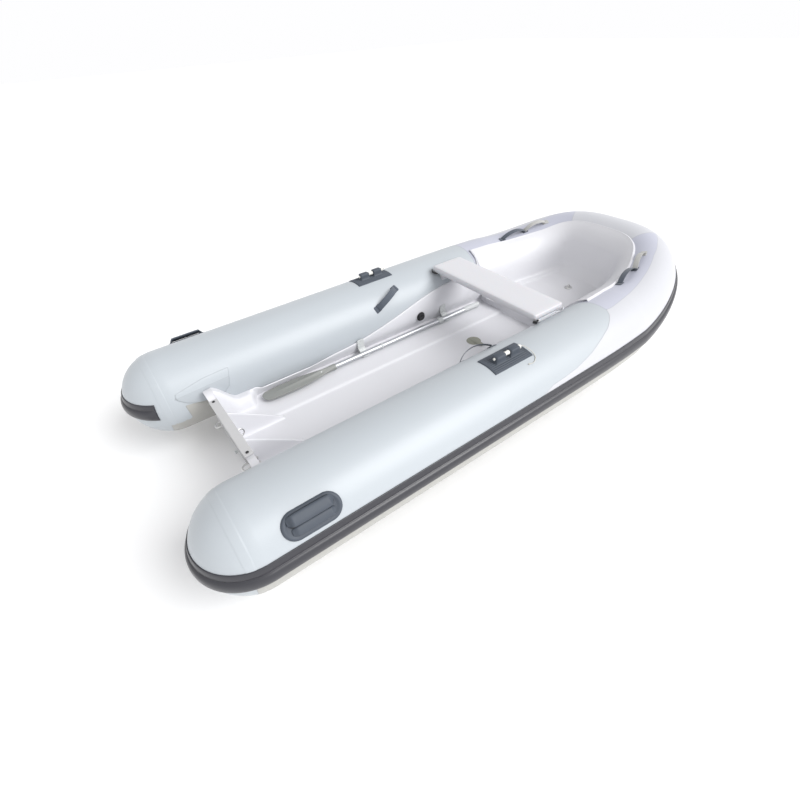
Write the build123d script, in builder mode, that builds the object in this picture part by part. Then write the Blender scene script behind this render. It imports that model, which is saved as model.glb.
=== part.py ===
"""Rigid-hull inflatable dinghy: a glass-fibre hull and deck between two air tubes that meet in a blunt bow.

Frame: X forward, Y to port, Z up, millimetres. X = 0 is half way along the boat, Y = 0 its centre plane
and Z = 0 the underside of the keel band. Pieces of the port side are modelled and then mirrored.
"""

import os
from math import cos, radians, sin, sqrt

from build123d import *

# ---- driving dimensions -------------------------------------------------------------------------
tube_length = 3100        # stern domes to stem, over the air tubes
tube_radius = 203         # side tubes
bow_radius = 153          # the tube at the stem
tube_half_spacing = 515   # centre plane to side-tube centre line
tube_bottom = 100         # side tubes clear the keel by this much
bow_lift = 157            # the stem's tube centre above the side tubes'
side_end = 90             # X where the straight sides begin to close in
climb_start = 738         # X where the tubes begin to rise and taper
bow_fullness = 3.33       # 2 is an ellipse in plan, larger is squarer
fabric = 1.1              # coated fabric of the air tubes
seat_gap = 0.3            # bonded or resting faces stand this far apart
running_fit = 0.05        # radial clearance of a pin in its bore

tube_height = tube_radius + tube_bottom
stern_centre = -tube_length / 2 + tube_radius
bow_centre = tube_length / 2 - bow_radius
bow_angles = [90 - 3 * step for step in range(31)]

laminate = 4              # hull and deck mouldings
hull_half_beam = 400
hull_tip = 1400
hull_end_x = 1290
keel_half_width = 50
keel_rise_start = 450
keel_rise = 300
chine_share = 0.75        # height of the chine between keel and hull edge
keel_band_thickness = 3
keel_band_start = -1130
keel_band_end = keel_rise_start - 20

floor_height = 185
side_deck_height = 195
floor_half_width = 122
floor_bevel = 10
bow_floor_start = 592
bow_floor_height = 235
bow_floor_front = 300
bow_floor_climb = 1000
liner_gap = 6             # deck moulding to tube, at its corners
liner_front = 1215
low_edge_angle = 192      # where the deck's upper edge meets the side tube, aft
high_edge_angle = 150     # the same edge beside the seat
bow_edge_angle = 118      # the raised wall round the bow
edge_climb_start = -550
edge_climb_end = 360
bow_wall_start = 576
bow_wall_step = 32
liner_wall_steps = 7

transom_rake = 8          # degrees, the top lies further aft
transom_foot = -1150      # X of the transom's forward face at Z = 0
transom_thickness = 34
transom_height = 352
transom_half_width = 215
transom_ear_height = 318
cap_thickness = 12
cap_overhang = 3
knee_offset = 105
knee_thickness = 12
knee_length = 200
motor_pad_width = 260
motor_pad_height = 98
motor_pad_thickness = 8
motor_pad_top = 335
screw_head_radius = 7
screw_head_height = 3.5
pad_screw_radius = 6
pad_screw_inset = 18
pad_screw_sunk = 0.5

stringer_offset = 200
stringer_thickness = 10
stringer_length = 1380
stringer_start = -1100

strake_top_angle = 18
strake_low_angle = -6
strake_thickness = 4
strake_bead = 14
strake_gap = 0.6
strake_dome_turn = 151

handle_x = -1169
handle_angle = 37
handle_length = 218
handle_width = 104
handle_corner = 50
patch_gap = 0.4
patch_thickness = 4
handle_bar_length = 150
handle_bar_width = 26
handle_bar_thickness = 13
handle_finger_gap = 24

oarlock_x = -127
oarlock_angle = 86
oarlock_length = 229
oarlock_width = 113
oarlock_lug_length = 56
oarlock_lug_width = 34
oarlock_lug_height = 32
oarlock_slot = 30
pin_radius = 6
pin_height = 18
pin_knob_radius = 10
pin_knob_length = 14
lanyard_radius = 1.6
knot_radius = 4

seat_x = 331
seat_length = 209
seat_half_span = 390
seat_top = 515
seat_thickness = 38
seat_edge = 6
bracket_length = 130
bracket_inner = 350

strap_thickness = 2.5
strap_foot = 40
cockpit_strap_width = 36
cockpit_strap_rise = 38
cockpit_strap_ends = ((-213, 149), (-62, 129))
bow_strap_width = 30
bow_strap_rise = 32
bow_strap_angle = 106
bow_strap_stations = (57, 48, 39)

valve_x = 60
valve_z = 274
valve_flange_radius = 28
valve_flange_thickness = 4
valve_barrel_radius = 18
valve_barrel_length = 34
valve_bore_radius = 13
valve_stem_radius = 4
valve_stem_length = 26
valve_cap_radius = 22
valve_cap_depth = 9
valve_cap_wall = 2

oar_y = 266
oar_z = 216
oar_tip_x = -985
blade_length = 390
blade_width = 92
blade_thickness = 8
shaft_radius = 14
shaft_wall = 1.5
shaft_end_x = 500
grip_length = 120
grip_radius = 17
collar_x = 165
collar_length = 34
collar_radius = 18
clip_xs = (-372, 232)
clip_width = 42
clip_plate_bottom = 200
clip_plate_top = 292
clip_plate_thickness = 3
clip_ring = 4

eye_offset = 165
eye_half_spacing = 17
eye_height = 262
eye_rod = 4
eye_reach = 34
nut_half = 7
nut_thickness = 6
ring_height = 300
ring_radius = 20
ring_rod = 3
bow_eye_x = 1060
bow_eye_radius = 14
bow_eye_plate = 24
floor_patch_x = 215
floor_patch_radius = 42
floor_patch_thickness = 3
drain_height = 214
drain_bore = 12
drain_tube = 15
drain_flange = 22
plug_length = 38


# ---- the air tubes' shape -----------------------------------------------------------------------
def climb(x):
    """0 where the tubes lie level, 1 at the stem."""
    return min(max((x - climb_start) / (bow_centre - climb_start), 0), 1)


def axis_height(x):
    return tube_height + bow_lift * climb(x) ** 2


def radius_at(x):
    return tube_radius + (bow_radius - tube_radius) * climb(x)


def bow_axis(angle):
    """Point on the bow tube's centre line: 90 degrees at the end of the straight side, 0 at the stem."""
    along, across = cos(radians(angle)), sin(radians(angle))
    reach = (abs(along) ** bow_fullness + abs(across) ** bow_fullness) ** (-1 / bow_fullness)
    x = side_end + (bow_centre - side_end) * reach * along
    return Vector(x, tube_half_spacing * reach * across, axis_height(x))


def bow_plane(angle):
    """Plane across the bow tube: its X points outboard and its Y up."""
    tangent = (bow_axis(angle - 1) - bow_axis(angle + 1)).normalized()
    return Plane(bow_axis(angle), x_dir=Vector(0, 0, 1).cross(tangent), z_dir=tangent)


def on_ring(radius, angle):
    """Point of a circle in a plane across a tube, measured up from outboard."""
    return (radius * cos(radians(angle)), radius * sin(radians(angle)))


def side_point(x, angle, proud=0):
    """Point on the straight side tube's surface, or proud of it."""
    y, z = on_ring(tube_radius + proud, angle)
    return Vector(x, tube_half_spacing + y, tube_height + z)


def side_plane(x, angle, proud=0):
    """Plane on the side tube: its X runs forward and its Z points away from the tube."""
    outward = Vector(0, cos(radians(angle)), sin(radians(angle)))
    return Plane(side_point(x, angle, proud), x_dir=(1, 0, 0), z_dir=outward)


tube_balls = [(bow_axis(angle), radius_at(bow_axis(angle).X)) for angle in range(91)]


def inner_breadth(x, z, proud=0):
    """Half the clear breadth between the tubes at one place and height, or between larger tubes."""
    if x <= side_end:
        return tube_half_spacing - sqrt(max((tube_radius + proud) ** 2 - (z - tube_height) ** 2, 0))
    sides = []
    for centre, radius in tube_balls:
        left = (radius + proud) ** 2 - (x - centre.X) ** 2 - (z - centre.Z) ** 2
        if left > 0:
            sides.append(centre.Y - sqrt(left))
    return min(sides) if sides else tube_half_spacing


def underside(x, y):
    """Height of the tube's lower surface over a point in plan."""
    if x <= side_end:
        return tube_height - sqrt(tube_radius**2 - (y - tube_half_spacing) ** 2)
    heights = []
    for centre, radius in tube_balls:
        left = radius**2 - (x - centre.X) ** 2 - (y - centre.Y) ** 2
        if left > 0:
            heights.append(centre.Z - sqrt(left))
    return min(heights)


def smooth(share):
    share = min(max(share, 0), 1)
    return share * share * (3 - 2 * share)


def save(piece, name):
    piece.label = name
    export_step(piece, f"parts/{name}.step")
    print(name, round(piece.volume))


def save_pair(piece, name):
    """Write a port piece and its mirror image on the starboard side."""
    save(piece, name + "_port")
    with BuildPart() as starboard:
        mirror(piece, about=Plane.XZ)
    save(starboard.part, name + "_starboard")


# ---- air tubes ----------------------------------------------------------------------------------
def make_side_tube():
    with BuildPart() as side_tube:
        with BuildSketch(Plane.YZ.offset(stern_centre)):
            with Locations((tube_half_spacing, tube_height)):
                Circle(tube_radius)
                Circle(tube_radius - fabric, mode=Mode.SUBTRACT)
        extrude(amount=side_end - stern_centre)
        with BuildSketch(Plane.XZ.offset(-tube_half_spacing)):
            with Locations((valve_x, valve_z)):
                Circle(valve_barrel_radius + seat_gap)
        extrude(amount=tube_radius + 10, mode=Mode.SUBTRACT)
    return side_tube.part


def make_bow_tube():
    with BuildPart() as bow_tube:
        for angle in bow_angles:
            with BuildSketch(bow_plane(angle)):
                Circle(radius_at(bow_axis(angle).X))
        loft(ruled=True)
        for angle in bow_angles:
            with BuildSketch(bow_plane(angle)):
                Circle(radius_at(bow_axis(angle).X) - fabric)
        loft(ruled=True, mode=Mode.SUBTRACT)
    return bow_tube.part


def make_stern_cone():
    """Domed end of a side tube."""
    with BuildPart() as stern_cone:
        with BuildSketch(Plane.XY.offset(tube_height)):
            with BuildLine():
                for radius in (tube_radius, tube_radius - fabric):
                    CenterArc((stern_centre, tube_half_spacing), radius, 90, 90)
                Line((stern_centre, tube_half_spacing + tube_radius - fabric),
                     (stern_centre, tube_half_spacing + tube_radius))
                Line((stern_centre - tube_radius, tube_half_spacing),
                     (stern_centre - tube_radius + fabric, tube_half_spacing))
            make_face()
        revolve(axis=Axis((stern_centre, tube_half_spacing, tube_height), (1, 0, 0)))
    return stern_cone.part


def strake_outline():
    """Rub strake across the tube: a flat band with a raised bead along its lower half."""
    low = tube_radius + strake_gap
    return [
        (low, strake_top_angle), (low + strake_thickness, strake_top_angle),
        (low + strake_thickness, 9), (low + strake_bead, 5.5), (low + strake_bead, -3),
        (low + strake_thickness, strake_low_angle), (low, strake_low_angle), (low, 2), (low, 10),
    ]


def make_rub_strake():
    with BuildPart() as rub_strake:
        with BuildSketch(Plane.YZ.offset(stern_centre)) as side_section:
            with BuildLine():
                points = [on_ring(radius, angle) for radius, angle in strake_outline()]
                Polyline([(tube_half_spacing + y, tube_height + z) for y, z in points], close=True)
            make_face()
        extrude(amount=side_end - stern_centre)
        revolve(side_section.sketch, axis=Axis((stern_centre, tube_half_spacing, 0), (0, 0, 1)),
                revolution_arc=strake_dome_turn)
        for angle in bow_angles:
            shrink = tube_radius - radius_at(bow_axis(angle).X)
            with BuildSketch(bow_plane(angle)):
                with BuildLine():
                    Polyline([on_ring(radius - shrink, at) for radius, at in strake_outline()], close=True)
                make_face()
        loft(ruled=True)
    return rub_strake.part


# ---- hull ---------------------------------------------------------------------------------------
def hull_edge(x):
    """Half breadth of the hull moulding."""
    share = min(max((x - side_end) / (hull_tip - side_end), 0), 1)
    return hull_half_beam * (1 - share**3) ** (1 / 3)


def keel_height(x):
    run = max(x - keel_rise_start, 0) / (hull_end_x - keel_rise_start)
    return keel_band_thickness + seat_gap + keel_rise * run**2 * 0.86


def hull_corners(x):
    """Keel, chine and edge of the hull's outer surface, as half breadths and heights."""
    margin = seat_gap if x <= side_end else 4
    edge = hull_edge(x)
    edge_height = underside(x, edge) - margin
    keel = keel_height(x)
    keel_half = keel_half_width - 35 * smooth((x - keel_rise_start) / (hull_end_x - keel_rise_start))
    return (keel_half, keel), (0.96 * edge, keel + chine_share * (edge_height - keel)), (edge, edge_height)


def mirrored(points):
    """Half an outline, port side from the centre outwards, completed to starboard."""
    return [(-y, z) for y, z in reversed(points)] + points


hull_stations = [-1260, side_end, 300, 450, 600, 750, 900, 1000, 1100, 1200, hull_end_x]


def make_hull_shell():
    with BuildPart() as hull_shell:
        for x in hull_stations:
            keel, chine, edge = hull_corners(x)
            outside = mirrored([keel, chine, edge])
            inside = mirrored([(keel[0], keel[1] + laminate), (chine[0] - laminate, chine[1] + laminate),
                               (edge[0] - laminate, edge[1])])
            with BuildSketch(Plane.YZ.offset(x)):
                with BuildLine():
                    Polyline(outside + inside[::-1], close=True)
                make_face()
        loft(ruled=True)
        keel, chine, edge = hull_corners(hull_end_x)
        with BuildSketch(Plane.YZ.offset(hull_end_x)):
            with BuildLine():
                Polyline(mirrored([keel, chine, edge]), close=True)
            make_face()
        extrude(amount=-laminate)
        split(bisect_by=transom_front_plane(seat_gap), keep=Keep.TOP)
    return hull_shell.part


def transom_front_plane(gap=0):
    """The transom's forward face: its X runs to port, its Y up the face, its Z forward."""
    lean = radians(transom_rake)
    return Plane((transom_foot + gap, 0, 0), x_dir=(0, 1, 0), z_dir=(cos(lean), 0, sin(lean)))


def make_keel_band():
    with BuildPart() as keel_band:
        with BuildSketch(Plane.XY):
            with Locations(((keel_band_start + keel_band_end) / 2, 0)):
                SlotOverall(keel_band_end - keel_band_start, 2 * keel_half_width - 4)
        extrude(amount=keel_band_thickness)
    return keel_band.part


def hull_inside_height(y):
    """Inner surface of the hull bottom aft, above one distance from the centre plane."""
    keel, chine, _ = hull_corners(stringer_start)
    share = (y - keel[0]) / (chine[0] - laminate - keel[0])
    return keel[1] + laminate + share * (chine[1] - keel[1])


def make_stringers():
    outer = stringer_offset + stringer_thickness / 2
    bottom = hull_inside_height(outer) + seat_gap
    top = side_deck_height - laminate - seat_gap
    with BuildPart() as stringers:
        for side in (1, -1):
            with Locations((stringer_start + stringer_length / 2, side * stringer_offset, (top + bottom) / 2)):
                Box(stringer_length, stringer_thickness, top - bottom)
    return stringers.part


# ---- deck moulding ------------------------------------------------------------------------------
def floor_at(x):
    if x <= bow_floor_start:
        return floor_height
    run = max(x - bow_floor_climb, 0) / (liner_front - bow_floor_climb)
    return bow_floor_height + (bow_floor_front - bow_floor_height) * run**2


def edge_angle(x):
    step = (x - bow_wall_start) / bow_wall_step + 1
    if step > 0:
        return high_edge_angle + (bow_edge_angle - high_edge_angle) * min(step, 1)
    share = (x - edge_climb_start) / (edge_climb_end - edge_climb_start)
    return low_edge_angle + (high_edge_angle - low_edge_angle) * smooth(share)


def deck_outline(x, depth=0):
    """The deck moulding's upper surface, or that far below it, from the centre plane to its edge."""
    low = floor_at(x)
    deck = low + side_deck_height - floor_height
    half = min(floor_half_width, inner_breadth(x, deck) - 60)
    top = axis_height(x) + radius_at(x) * sin(radians(edge_angle(x)))
    points = [(half, low - depth), (half + floor_bevel, deck - depth)]
    for step in range(liner_wall_steps + 1):
        z = deck + (top - deck) * step / liner_wall_steps
        breadth = inner_breadth(x, z, liner_gap + laminate - depth)
        points.append((breadth, z - depth if step == 0 else z))
    return points


def make_deck_liner():
    stations = [-1260, edge_climb_start, -320, -84, side_end, 220, 340, 450]
    stations += [bow_wall_start - share * bow_wall_step for share in (1, 0.75, 0.5, 0.25, 0)]
    stations += [bow_floor_start, bow_floor_start + 8, 700, 800, 900, 1000]
    stations += [1060, 1110, 1150, 1185, liner_front]
    with BuildPart() as deck_liner:
        for x in stations:
            with BuildSketch(Plane.YZ.offset(x)):
                with BuildLine():
                    below = mirrored(deck_outline(x, laminate))
                    Polyline(below + mirrored(deck_outline(x))[::-1], close=True)
                make_face()
        loft(ruled=True)
        with BuildSketch(Plane.YZ.offset(liner_front)):
            with BuildLine():
                Polyline(mirrored(deck_outline(liner_front, laminate)), close=True)
            make_face()
        extrude(amount=-laminate)
        split(bisect_by=transom_front_plane(seat_gap), keep=Keep.TOP)
        with BuildSketch(Plane.XZ.offset(-tube_half_spacing)):
            with Locations((valve_x, valve_z)):
                Circle(valve_barrel_radius + seat_gap)
        extrude(amount=2 * tube_half_spacing, mode=Mode.SUBTRACT)
    return deck_liner.part


# ---- transom ------------------------------------------------------------------------------------
def up_face(height):
    """Distance up the raked transom face to a height above the keel."""
    return height / cos(radians(transom_rake))


def tube_space(gap):
    """The space of both side tubes, for cutting neighbours back from them."""
    with BuildPart() as space:
        with BuildSketch(Plane.YZ.offset(stern_centre)):
            with Locations((tube_half_spacing, tube_height), (-tube_half_spacing, tube_height)):
                Circle(tube_radius + gap)
        extrude(amount=side_end - stern_centre)
    return space.part


def make_transom_board():
    keel, chine, edge = hull_corners(stringer_start)
    ear = inner_breadth(0, transom_height) + 20
    outline = [(y, up_face(z)) for y, z in (keel, chine, edge)]
    outline += [(edge[0], up_face(transom_ear_height)), (ear, up_face(transom_ear_height)),
                (ear - 45, up_face(transom_height + 10)), (transom_half_width + 14, up_face(transom_height + 8)),
                (transom_half_width + 2, up_face(transom_height))]
    with BuildPart() as board:
        with BuildSketch(transom_front_plane()):
            with BuildLine():
                Polyline(mirrored(outline), close=True)
            make_face()
        extrude(amount=-transom_thickness)
        add(tube_space(seat_gap), mode=Mode.SUBTRACT)
        with BuildSketch(transom_front_plane()):
            for side in (1, -1):
                with Locations((side * eye_offset, up_face(eye_height))):
                    with Locations((eye_half_spacing, 0), (-eye_half_spacing, 0)):
                        Circle(eye_rod + seat_gap)
            with Locations((0, up_face(drain_height))):
                Circle(drain_tube + seat_gap)
        extrude(amount=-transom_thickness, mode=Mode.SUBTRACT)
    return board.part


def make_transom_cap():
    middle = up_face(transom_height) + seat_gap + cap_thickness / 2
    with BuildPart() as cap:
        with BuildSketch(transom_front_plane(0).offset(cap_overhang)):
            with Locations((0, middle)):
                RectangleRounded(2 * transom_half_width, cap_thickness, 3)
        extrude(amount=-(transom_thickness + 2 * cap_overhang))
    return cap.part


def motor_pad_face():
    """The pad's aft face, where a motor's clamp bears: its Z points forward."""
    return transom_front_plane().offset(-(transom_thickness + seat_gap + motor_pad_thickness))


def pad_screws(radius, mode=Mode.ADD):
    """Circles at the motor pad's corners, drawn in a sketch on its face."""
    inset = 2 * pad_screw_inset
    with Locations((0, up_face(motor_pad_top - motor_pad_height / 2))):
        with GridLocations(motor_pad_width - inset, motor_pad_height - inset, 2, 2):
            Circle(radius, mode=mode)


def make_transom_screws():
    """Pan heads on the cap's ends and sunk screws in the motor pad's corners."""
    face = transom_front_plane()
    top = up_face(transom_height) + seat_gap + cap_thickness
    up = Vector(0, 0, 1) * cos(radians(transom_rake)) - Vector(1, 0, 0) * sin(radians(transom_rake))
    with BuildPart() as screws:
        for side in (1, -1):
            seat = face.origin + up * top - face.z_dir * (transom_thickness / 2)
            spot = seat + Vector(0, side * (transom_half_width - 16), 0)
            with BuildSketch(Plane(spot, x_dir=(0, 1, 0), z_dir=up)):
                Circle(screw_head_radius)
            extrude(amount=screw_head_height)
        with BuildSketch(motor_pad_face().offset(pad_screw_sunk)):
            pad_screws(pad_screw_radius)
        extrude(amount=motor_pad_thickness - pad_screw_sunk)
    return screws.part


def make_motor_pad():
    with BuildPart() as pad:
        with BuildSketch(transom_front_plane().offset(-(transom_thickness + seat_gap))):
            with Locations((0, up_face(motor_pad_top - motor_pad_height / 2))):
                RectangleRounded(motor_pad_width, motor_pad_height, 10)
            pad_screws(pad_screw_radius + seat_gap, Mode.SUBTRACT)
        extrude(amount=-motor_pad_thickness)
    return pad.part


def make_transom_knee():
    """Triangular web from the transom down to the floor."""
    face_x = transom_foot + seat_gap
    top = transom_height - 8
    lean = sin(radians(transom_rake)) / cos(radians(transom_rake))
    low = floor_height + seat_gap
    with BuildPart() as knee:
        with BuildSketch(Plane.XZ.offset(-(knee_offset + knee_thickness / 2))):
            with BuildLine():
                Polyline([(face_x - lean * low, low), (face_x - lean * top, top),
                          (face_x - lean * top + 12, top), (face_x + knee_length, low + 6),
                          (face_x + knee_length, low)], close=True)
            make_face()
        extrude(amount=knee_thickness)
    return knee.part


def make_stern_eye():
    """U-bolt through the transom with its backing plate and nuts."""
    face = transom_front_plane()
    height = up_face(eye_height)
    back = face.offset(-(transom_thickness + eye_reach))
    with BuildPart() as eye:
        with BuildSketch(face.offset(nut_thickness + 5)):
            for offset in (eye_half_spacing, -eye_half_spacing):
                with Locations((eye_offset + offset, height)):
                    Circle(eye_rod)
        extrude(amount=-(nut_thickness + 5 + transom_thickness + eye_reach - eye_half_spacing))
        centre = face.origin + face.y_dir * height + Vector(0, eye_offset, 0)
        centre -= face.z_dir * (transom_thickness + eye_reach - eye_half_spacing)
        ring_start = Plane(centre + Vector(0, eye_half_spacing, 0), x_dir=(0, 1, 0), z_dir=face.z_dir)
        with BuildSketch(ring_start):
            Circle(eye_rod)
        revolve(axis=Axis(centre, face.y_dir), revolution_arc=180)
    with BuildPart() as plate:
        with BuildSketch(face.offset(seat_gap)):
            with Locations((eye_offset, height)):
                RectangleRounded(2 * eye_half_spacing + 26, 24, 4)
                with Locations((eye_half_spacing, 0), (-eye_half_spacing, 0)):
                    Circle(eye_rod + seat_gap, mode=Mode.SUBTRACT)
        extrude(amount=2)
        with BuildSketch(face.offset(2 + 2 * seat_gap)):
            for offset in (eye_half_spacing, -eye_half_spacing):
                with Locations((eye_offset + offset, height)):
                    Rectangle(2 * nut_half, 2 * nut_half)
                    Circle(eye_rod + seat_gap, mode=Mode.SUBTRACT)
        extrude(amount=nut_thickness)
    return Compound(children=[*eye.part.solids(), *plate.part.solids()])


def make_transom_ring():
    """Safety ring on the forward face: a plate with a half ring standing off it."""
    face = transom_front_plane(seat_gap)
    height = up_face(ring_height)
    with BuildPart() as ring:
        with BuildSketch(face):
            with Locations((0, height)):
                RectangleRounded(26, 2 * ring_radius + 20, 5)
        extrude(amount=3)
        centre = face.origin + face.y_dir * height + face.z_dir * 3
        with BuildSketch(Plane(centre + face.y_dir * ring_radius, x_dir=(0, 1, 0), z_dir=face.z_dir)):
            Circle(ring_rod)
        revolve(axis=Axis(centre, (0, 1, 0)), revolution_arc=180)
    return ring.part


def make_drain_socket():
    face = transom_front_plane(seat_gap)
    height = up_face(drain_height)
    with BuildPart() as socket:
        with BuildSketch(face):
            with Locations((0, height)):
                Circle(drain_flange)
                Circle(drain_bore, mode=Mode.SUBTRACT)
        extrude(amount=3)
        with BuildSketch(face):
            with Locations((0, height)):
                Circle(drain_tube)
                Circle(drain_bore, mode=Mode.SUBTRACT)
        extrude(amount=-(transom_thickness + 4))
    return socket.part


def make_drain_plug():
    """Bung pushed into the drain from aft, with a pull knob."""
    face = transom_front_plane(seat_gap)
    height = up_face(drain_height)
    mouth = face.offset(-(transom_thickness + 4 + seat_gap))
    with BuildPart() as plug:
        with BuildSketch(mouth):
            with Locations((0, height)):
                Circle(drain_bore - running_fit)
        extrude(amount=plug_length)
        with BuildSketch(mouth):
            with Locations((0, height)):
                Circle(drain_tube + 1)
        extrude(amount=-6)
        with BuildSketch(mouth.offset(-6)):
            with Locations((0, height)):
                Rectangle(6, 24)
        extrude(amount=-14)
    return plug.part


# ---- handles, straps and oarlocks on the tubes --------------------------------------------------
def tube_patch(x, angle, length, width, corner, thickness=patch_thickness):
    """Patch bonded to the side tube: a rounded outline wrapped on its surface."""
    with BuildPart() as sleeve:
        with BuildSketch(Plane.YZ.offset(x - length)):
            with Locations((tube_half_spacing, tube_height)):
                Circle(tube_radius + patch_gap + thickness)
                Circle(tube_radius + patch_gap, mode=Mode.SUBTRACT)
        extrude(amount=2 * length)
    with BuildPart() as patch:
        with BuildSketch(side_plane(x, angle, -60)):
            RectangleRounded(length, width, corner)
        extrude(amount=120)
        add(sleeve.part, mode=Mode.INTERSECT)
    return patch.part


def make_carry_handle():
    plane = side_plane(handle_x, handle_angle, patch_gap + patch_thickness)
    across = Plane(plane.origin, x_dir=plane.x_dir, z_dir=-plane.y_dir)
    top = handle_finger_gap + handle_bar_thickness
    half = handle_bar_length / 2
    with BuildPart() as handle:
        add(tube_patch(handle_x, handle_angle, handle_length, handle_width, handle_corner))
        with BuildSketch(across.offset(-handle_bar_width / 2)):
            with BuildLine():
                Polyline([(-half - 18, -2), (-half + 10, top), (half - 10, top), (half + 18, -2),
                          (half - 4, -2), (half - 20, handle_finger_gap), (20 - half, handle_finger_gap),
                          (4 - half, -2)], close=True)
            make_face()
        extrude(amount=handle_bar_width)
    return handle.part


def oarlock_pin_axis():
    return side_plane(oarlock_x, oarlock_angle, patch_gap + patch_thickness + pin_height)


def make_oarlock_base():
    plane = side_plane(oarlock_x, oarlock_angle, patch_gap + patch_thickness - 2)
    reach = (oarlock_slot + oarlock_lug_length) / 2
    with BuildPart() as base:
        add(tube_patch(oarlock_x, oarlock_angle, oarlock_length, oarlock_width, 6))
        with BuildSketch(plane):
            with Locations((reach, 0), (-reach, 0)):
                RectangleRounded(oarlock_lug_length, oarlock_lug_width, 5)
        extrude(amount=oarlock_lug_height + 2)
        axis = oarlock_pin_axis()
        with BuildSketch(Plane(axis.origin - axis.x_dir * oarlock_length / 2, x_dir=axis.y_dir, z_dir=axis.x_dir)):
            Circle(pin_radius + running_fit)
        extrude(amount=oarlock_length, mode=Mode.SUBTRACT)
    return base.part


def pin_end(forward):
    """Point on the oarlock pin's axis, that far forward of the forward lug."""
    axis = oarlock_pin_axis()
    return axis.origin + axis.x_dir * (oarlock_slot / 2 + oarlock_lug_length + forward)


def make_oarlock_pin():
    axis = oarlock_pin_axis()
    shank = oarlock_slot + 2 * oarlock_lug_length + seat_gap + 6
    with BuildPart() as pin:
        with BuildSketch(Plane(pin_end(seat_gap), x_dir=axis.y_dir, z_dir=axis.x_dir)):
            Circle(pin_knob_radius)
        extrude(amount=pin_knob_length)
        with BuildSketch(Plane(pin_end(seat_gap), x_dir=axis.y_dir, z_dir=-axis.x_dir)):
            Circle(pin_radius)
        extrude(amount=shank)
    return pin.part


def lanyard_points():
    """Route of the thin cord that hangs from the pin's knob down the outside of the tube."""
    start = pin_end(seat_gap + pin_knob_length)
    def over(x, angle, proud):
        return side_point(oarlock_x + x, angle, proud)
    return [start, start + Vector(14, 0, 0), over(112, 78.5, 16), over(122, 73, 7), over(120, 67, 3),
            over(108, 63.5, 3), over(94, 61.5, 3), over(80, 61, 3), over(68, 62, 3)]


def make_lanyard():
    points = lanyard_points()
    radii = []
    for before, here, after in zip(points, points[1:], points[2:]):
        turn = radians((here - before).get_angle(after - here))
        short = min((here - before).length, (after - here).length)
        radii.append(0.45 * short * cos(turn / 2) / sin(turn / 2))
    print("lanyard radii", [round(radius, 1) for radius in radii])
    with BuildPart() as lanyard:
        with BuildLine() as route:
            FilletPolyline(*points, radius=radii)
        with BuildSketch(Plane(points[0], z_dir=points[1] - points[0])):
            Circle(lanyard_radius)
        sweep(path=route.line)
    length = sum(edge.length for edge in route.edges())
    print("lanyard length", round(length), "volume", round(lanyard.part.volume))
    return lanyard.part


def make_knot():
    """Stopper knot at the lanyard's end, drawn as a short barrel."""
    points = lanyard_points()
    way = (points[-1] - points[-2]).normalized()
    with BuildPart() as knot:
        with BuildSketch(Plane(points[-1], z_dir=way)):
            Circle(knot_radius - 1)
        extrude(amount=2 * knot_radius)
    return knot.part


def arch_strap(start, end, outward, rise, width):
    """Webbing that arches from one point to another, with a foot patch at each end."""
    along = (end - start).normalized()
    lift = (outward - along * outward.dot(along)).normalized()
    side = lift.cross(along)
    half = (end - start).length / 2
    plane = Plane((start + end) / 2, x_dir=along, z_dir=-side)
    if plane.y_dir.dot(lift) < 0:
        plane = Plane((start + end) / 2, x_dir=along, z_dir=side)
    with BuildPart() as strap:
        with BuildSketch(plane.offset(-width / 2)):
            with BuildLine():
                ThreePointArc((-half, 0), (0, rise), (half, 0))
                Line((half, 0), (half - strap_thickness * 1.3, 0))
                ThreePointArc((half - strap_thickness * 1.3, 0), (0, rise - strap_thickness),
                              (strap_thickness * 1.3 - half, 0))
                Line((strap_thickness * 1.3 - half, 0), (-half, 0))
            make_face()
        extrude(amount=width)
    return strap.part


def make_cockpit_strap():
    (x1, angle1), (x2, angle2) = cockpit_strap_ends
    start = side_point(x1, angle1, patch_gap + strap_thickness)
    end = side_point(x2, angle2, patch_gap + strap_thickness)
    outward = side_plane(0, (angle1 + angle2) / 2).z_dir
    with BuildPart() as strap:
        add(arch_strap(start, end, outward, cockpit_strap_rise, cockpit_strap_width))
        for x, angle in cockpit_strap_ends:
            add(tube_patch(x, angle, strap_foot, strap_foot, 6, strap_thickness))
    return strap.part


def bow_surface(angle, around, proud=0):
    """Point on the bow tube's surface at one station."""
    plane = bow_plane(angle)
    y, z = on_ring(radius_at(plane.origin.X) + proud, around)
    return plane.origin + plane.x_dir * y + plane.y_dir * z


def bow_normal(angle, around):
    """Outward direction square to the tapering bow tube's surface."""
    along = bow_surface(angle - 1, around) - bow_surface(angle + 1, around)
    across = bow_surface(angle, around + 1) - bow_surface(angle, around - 1)
    return across.cross(along).normalized()


def make_bow_strap():
    """Two arches of webbing over three patches along the top of the bow tube."""
    normals = [bow_normal(angle, bow_strap_angle) for angle in bow_strap_stations]
    points = [bow_surface(angle, bow_strap_angle) + normal * (strap_thickness + seat_gap)
              for angle, normal in zip(bow_strap_stations, normals)]
    with BuildPart() as strap:
        for start, end in zip(points, points[1:]):
            add(arch_strap(start, end, normals[1], bow_strap_rise, bow_strap_width))
        for angle, point, normal in zip(bow_strap_stations, points, normals):
            along = bow_surface(angle - 1, bow_strap_angle) - bow_surface(angle + 1, bow_strap_angle)
            with BuildSketch(Plane(point, x_dir=along, z_dir=normal)):
                RectangleRounded(strap_foot, strap_foot - 8, 5)
            extrude(amount=-(strap_thickness - 0.5))
    return strap.part


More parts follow.
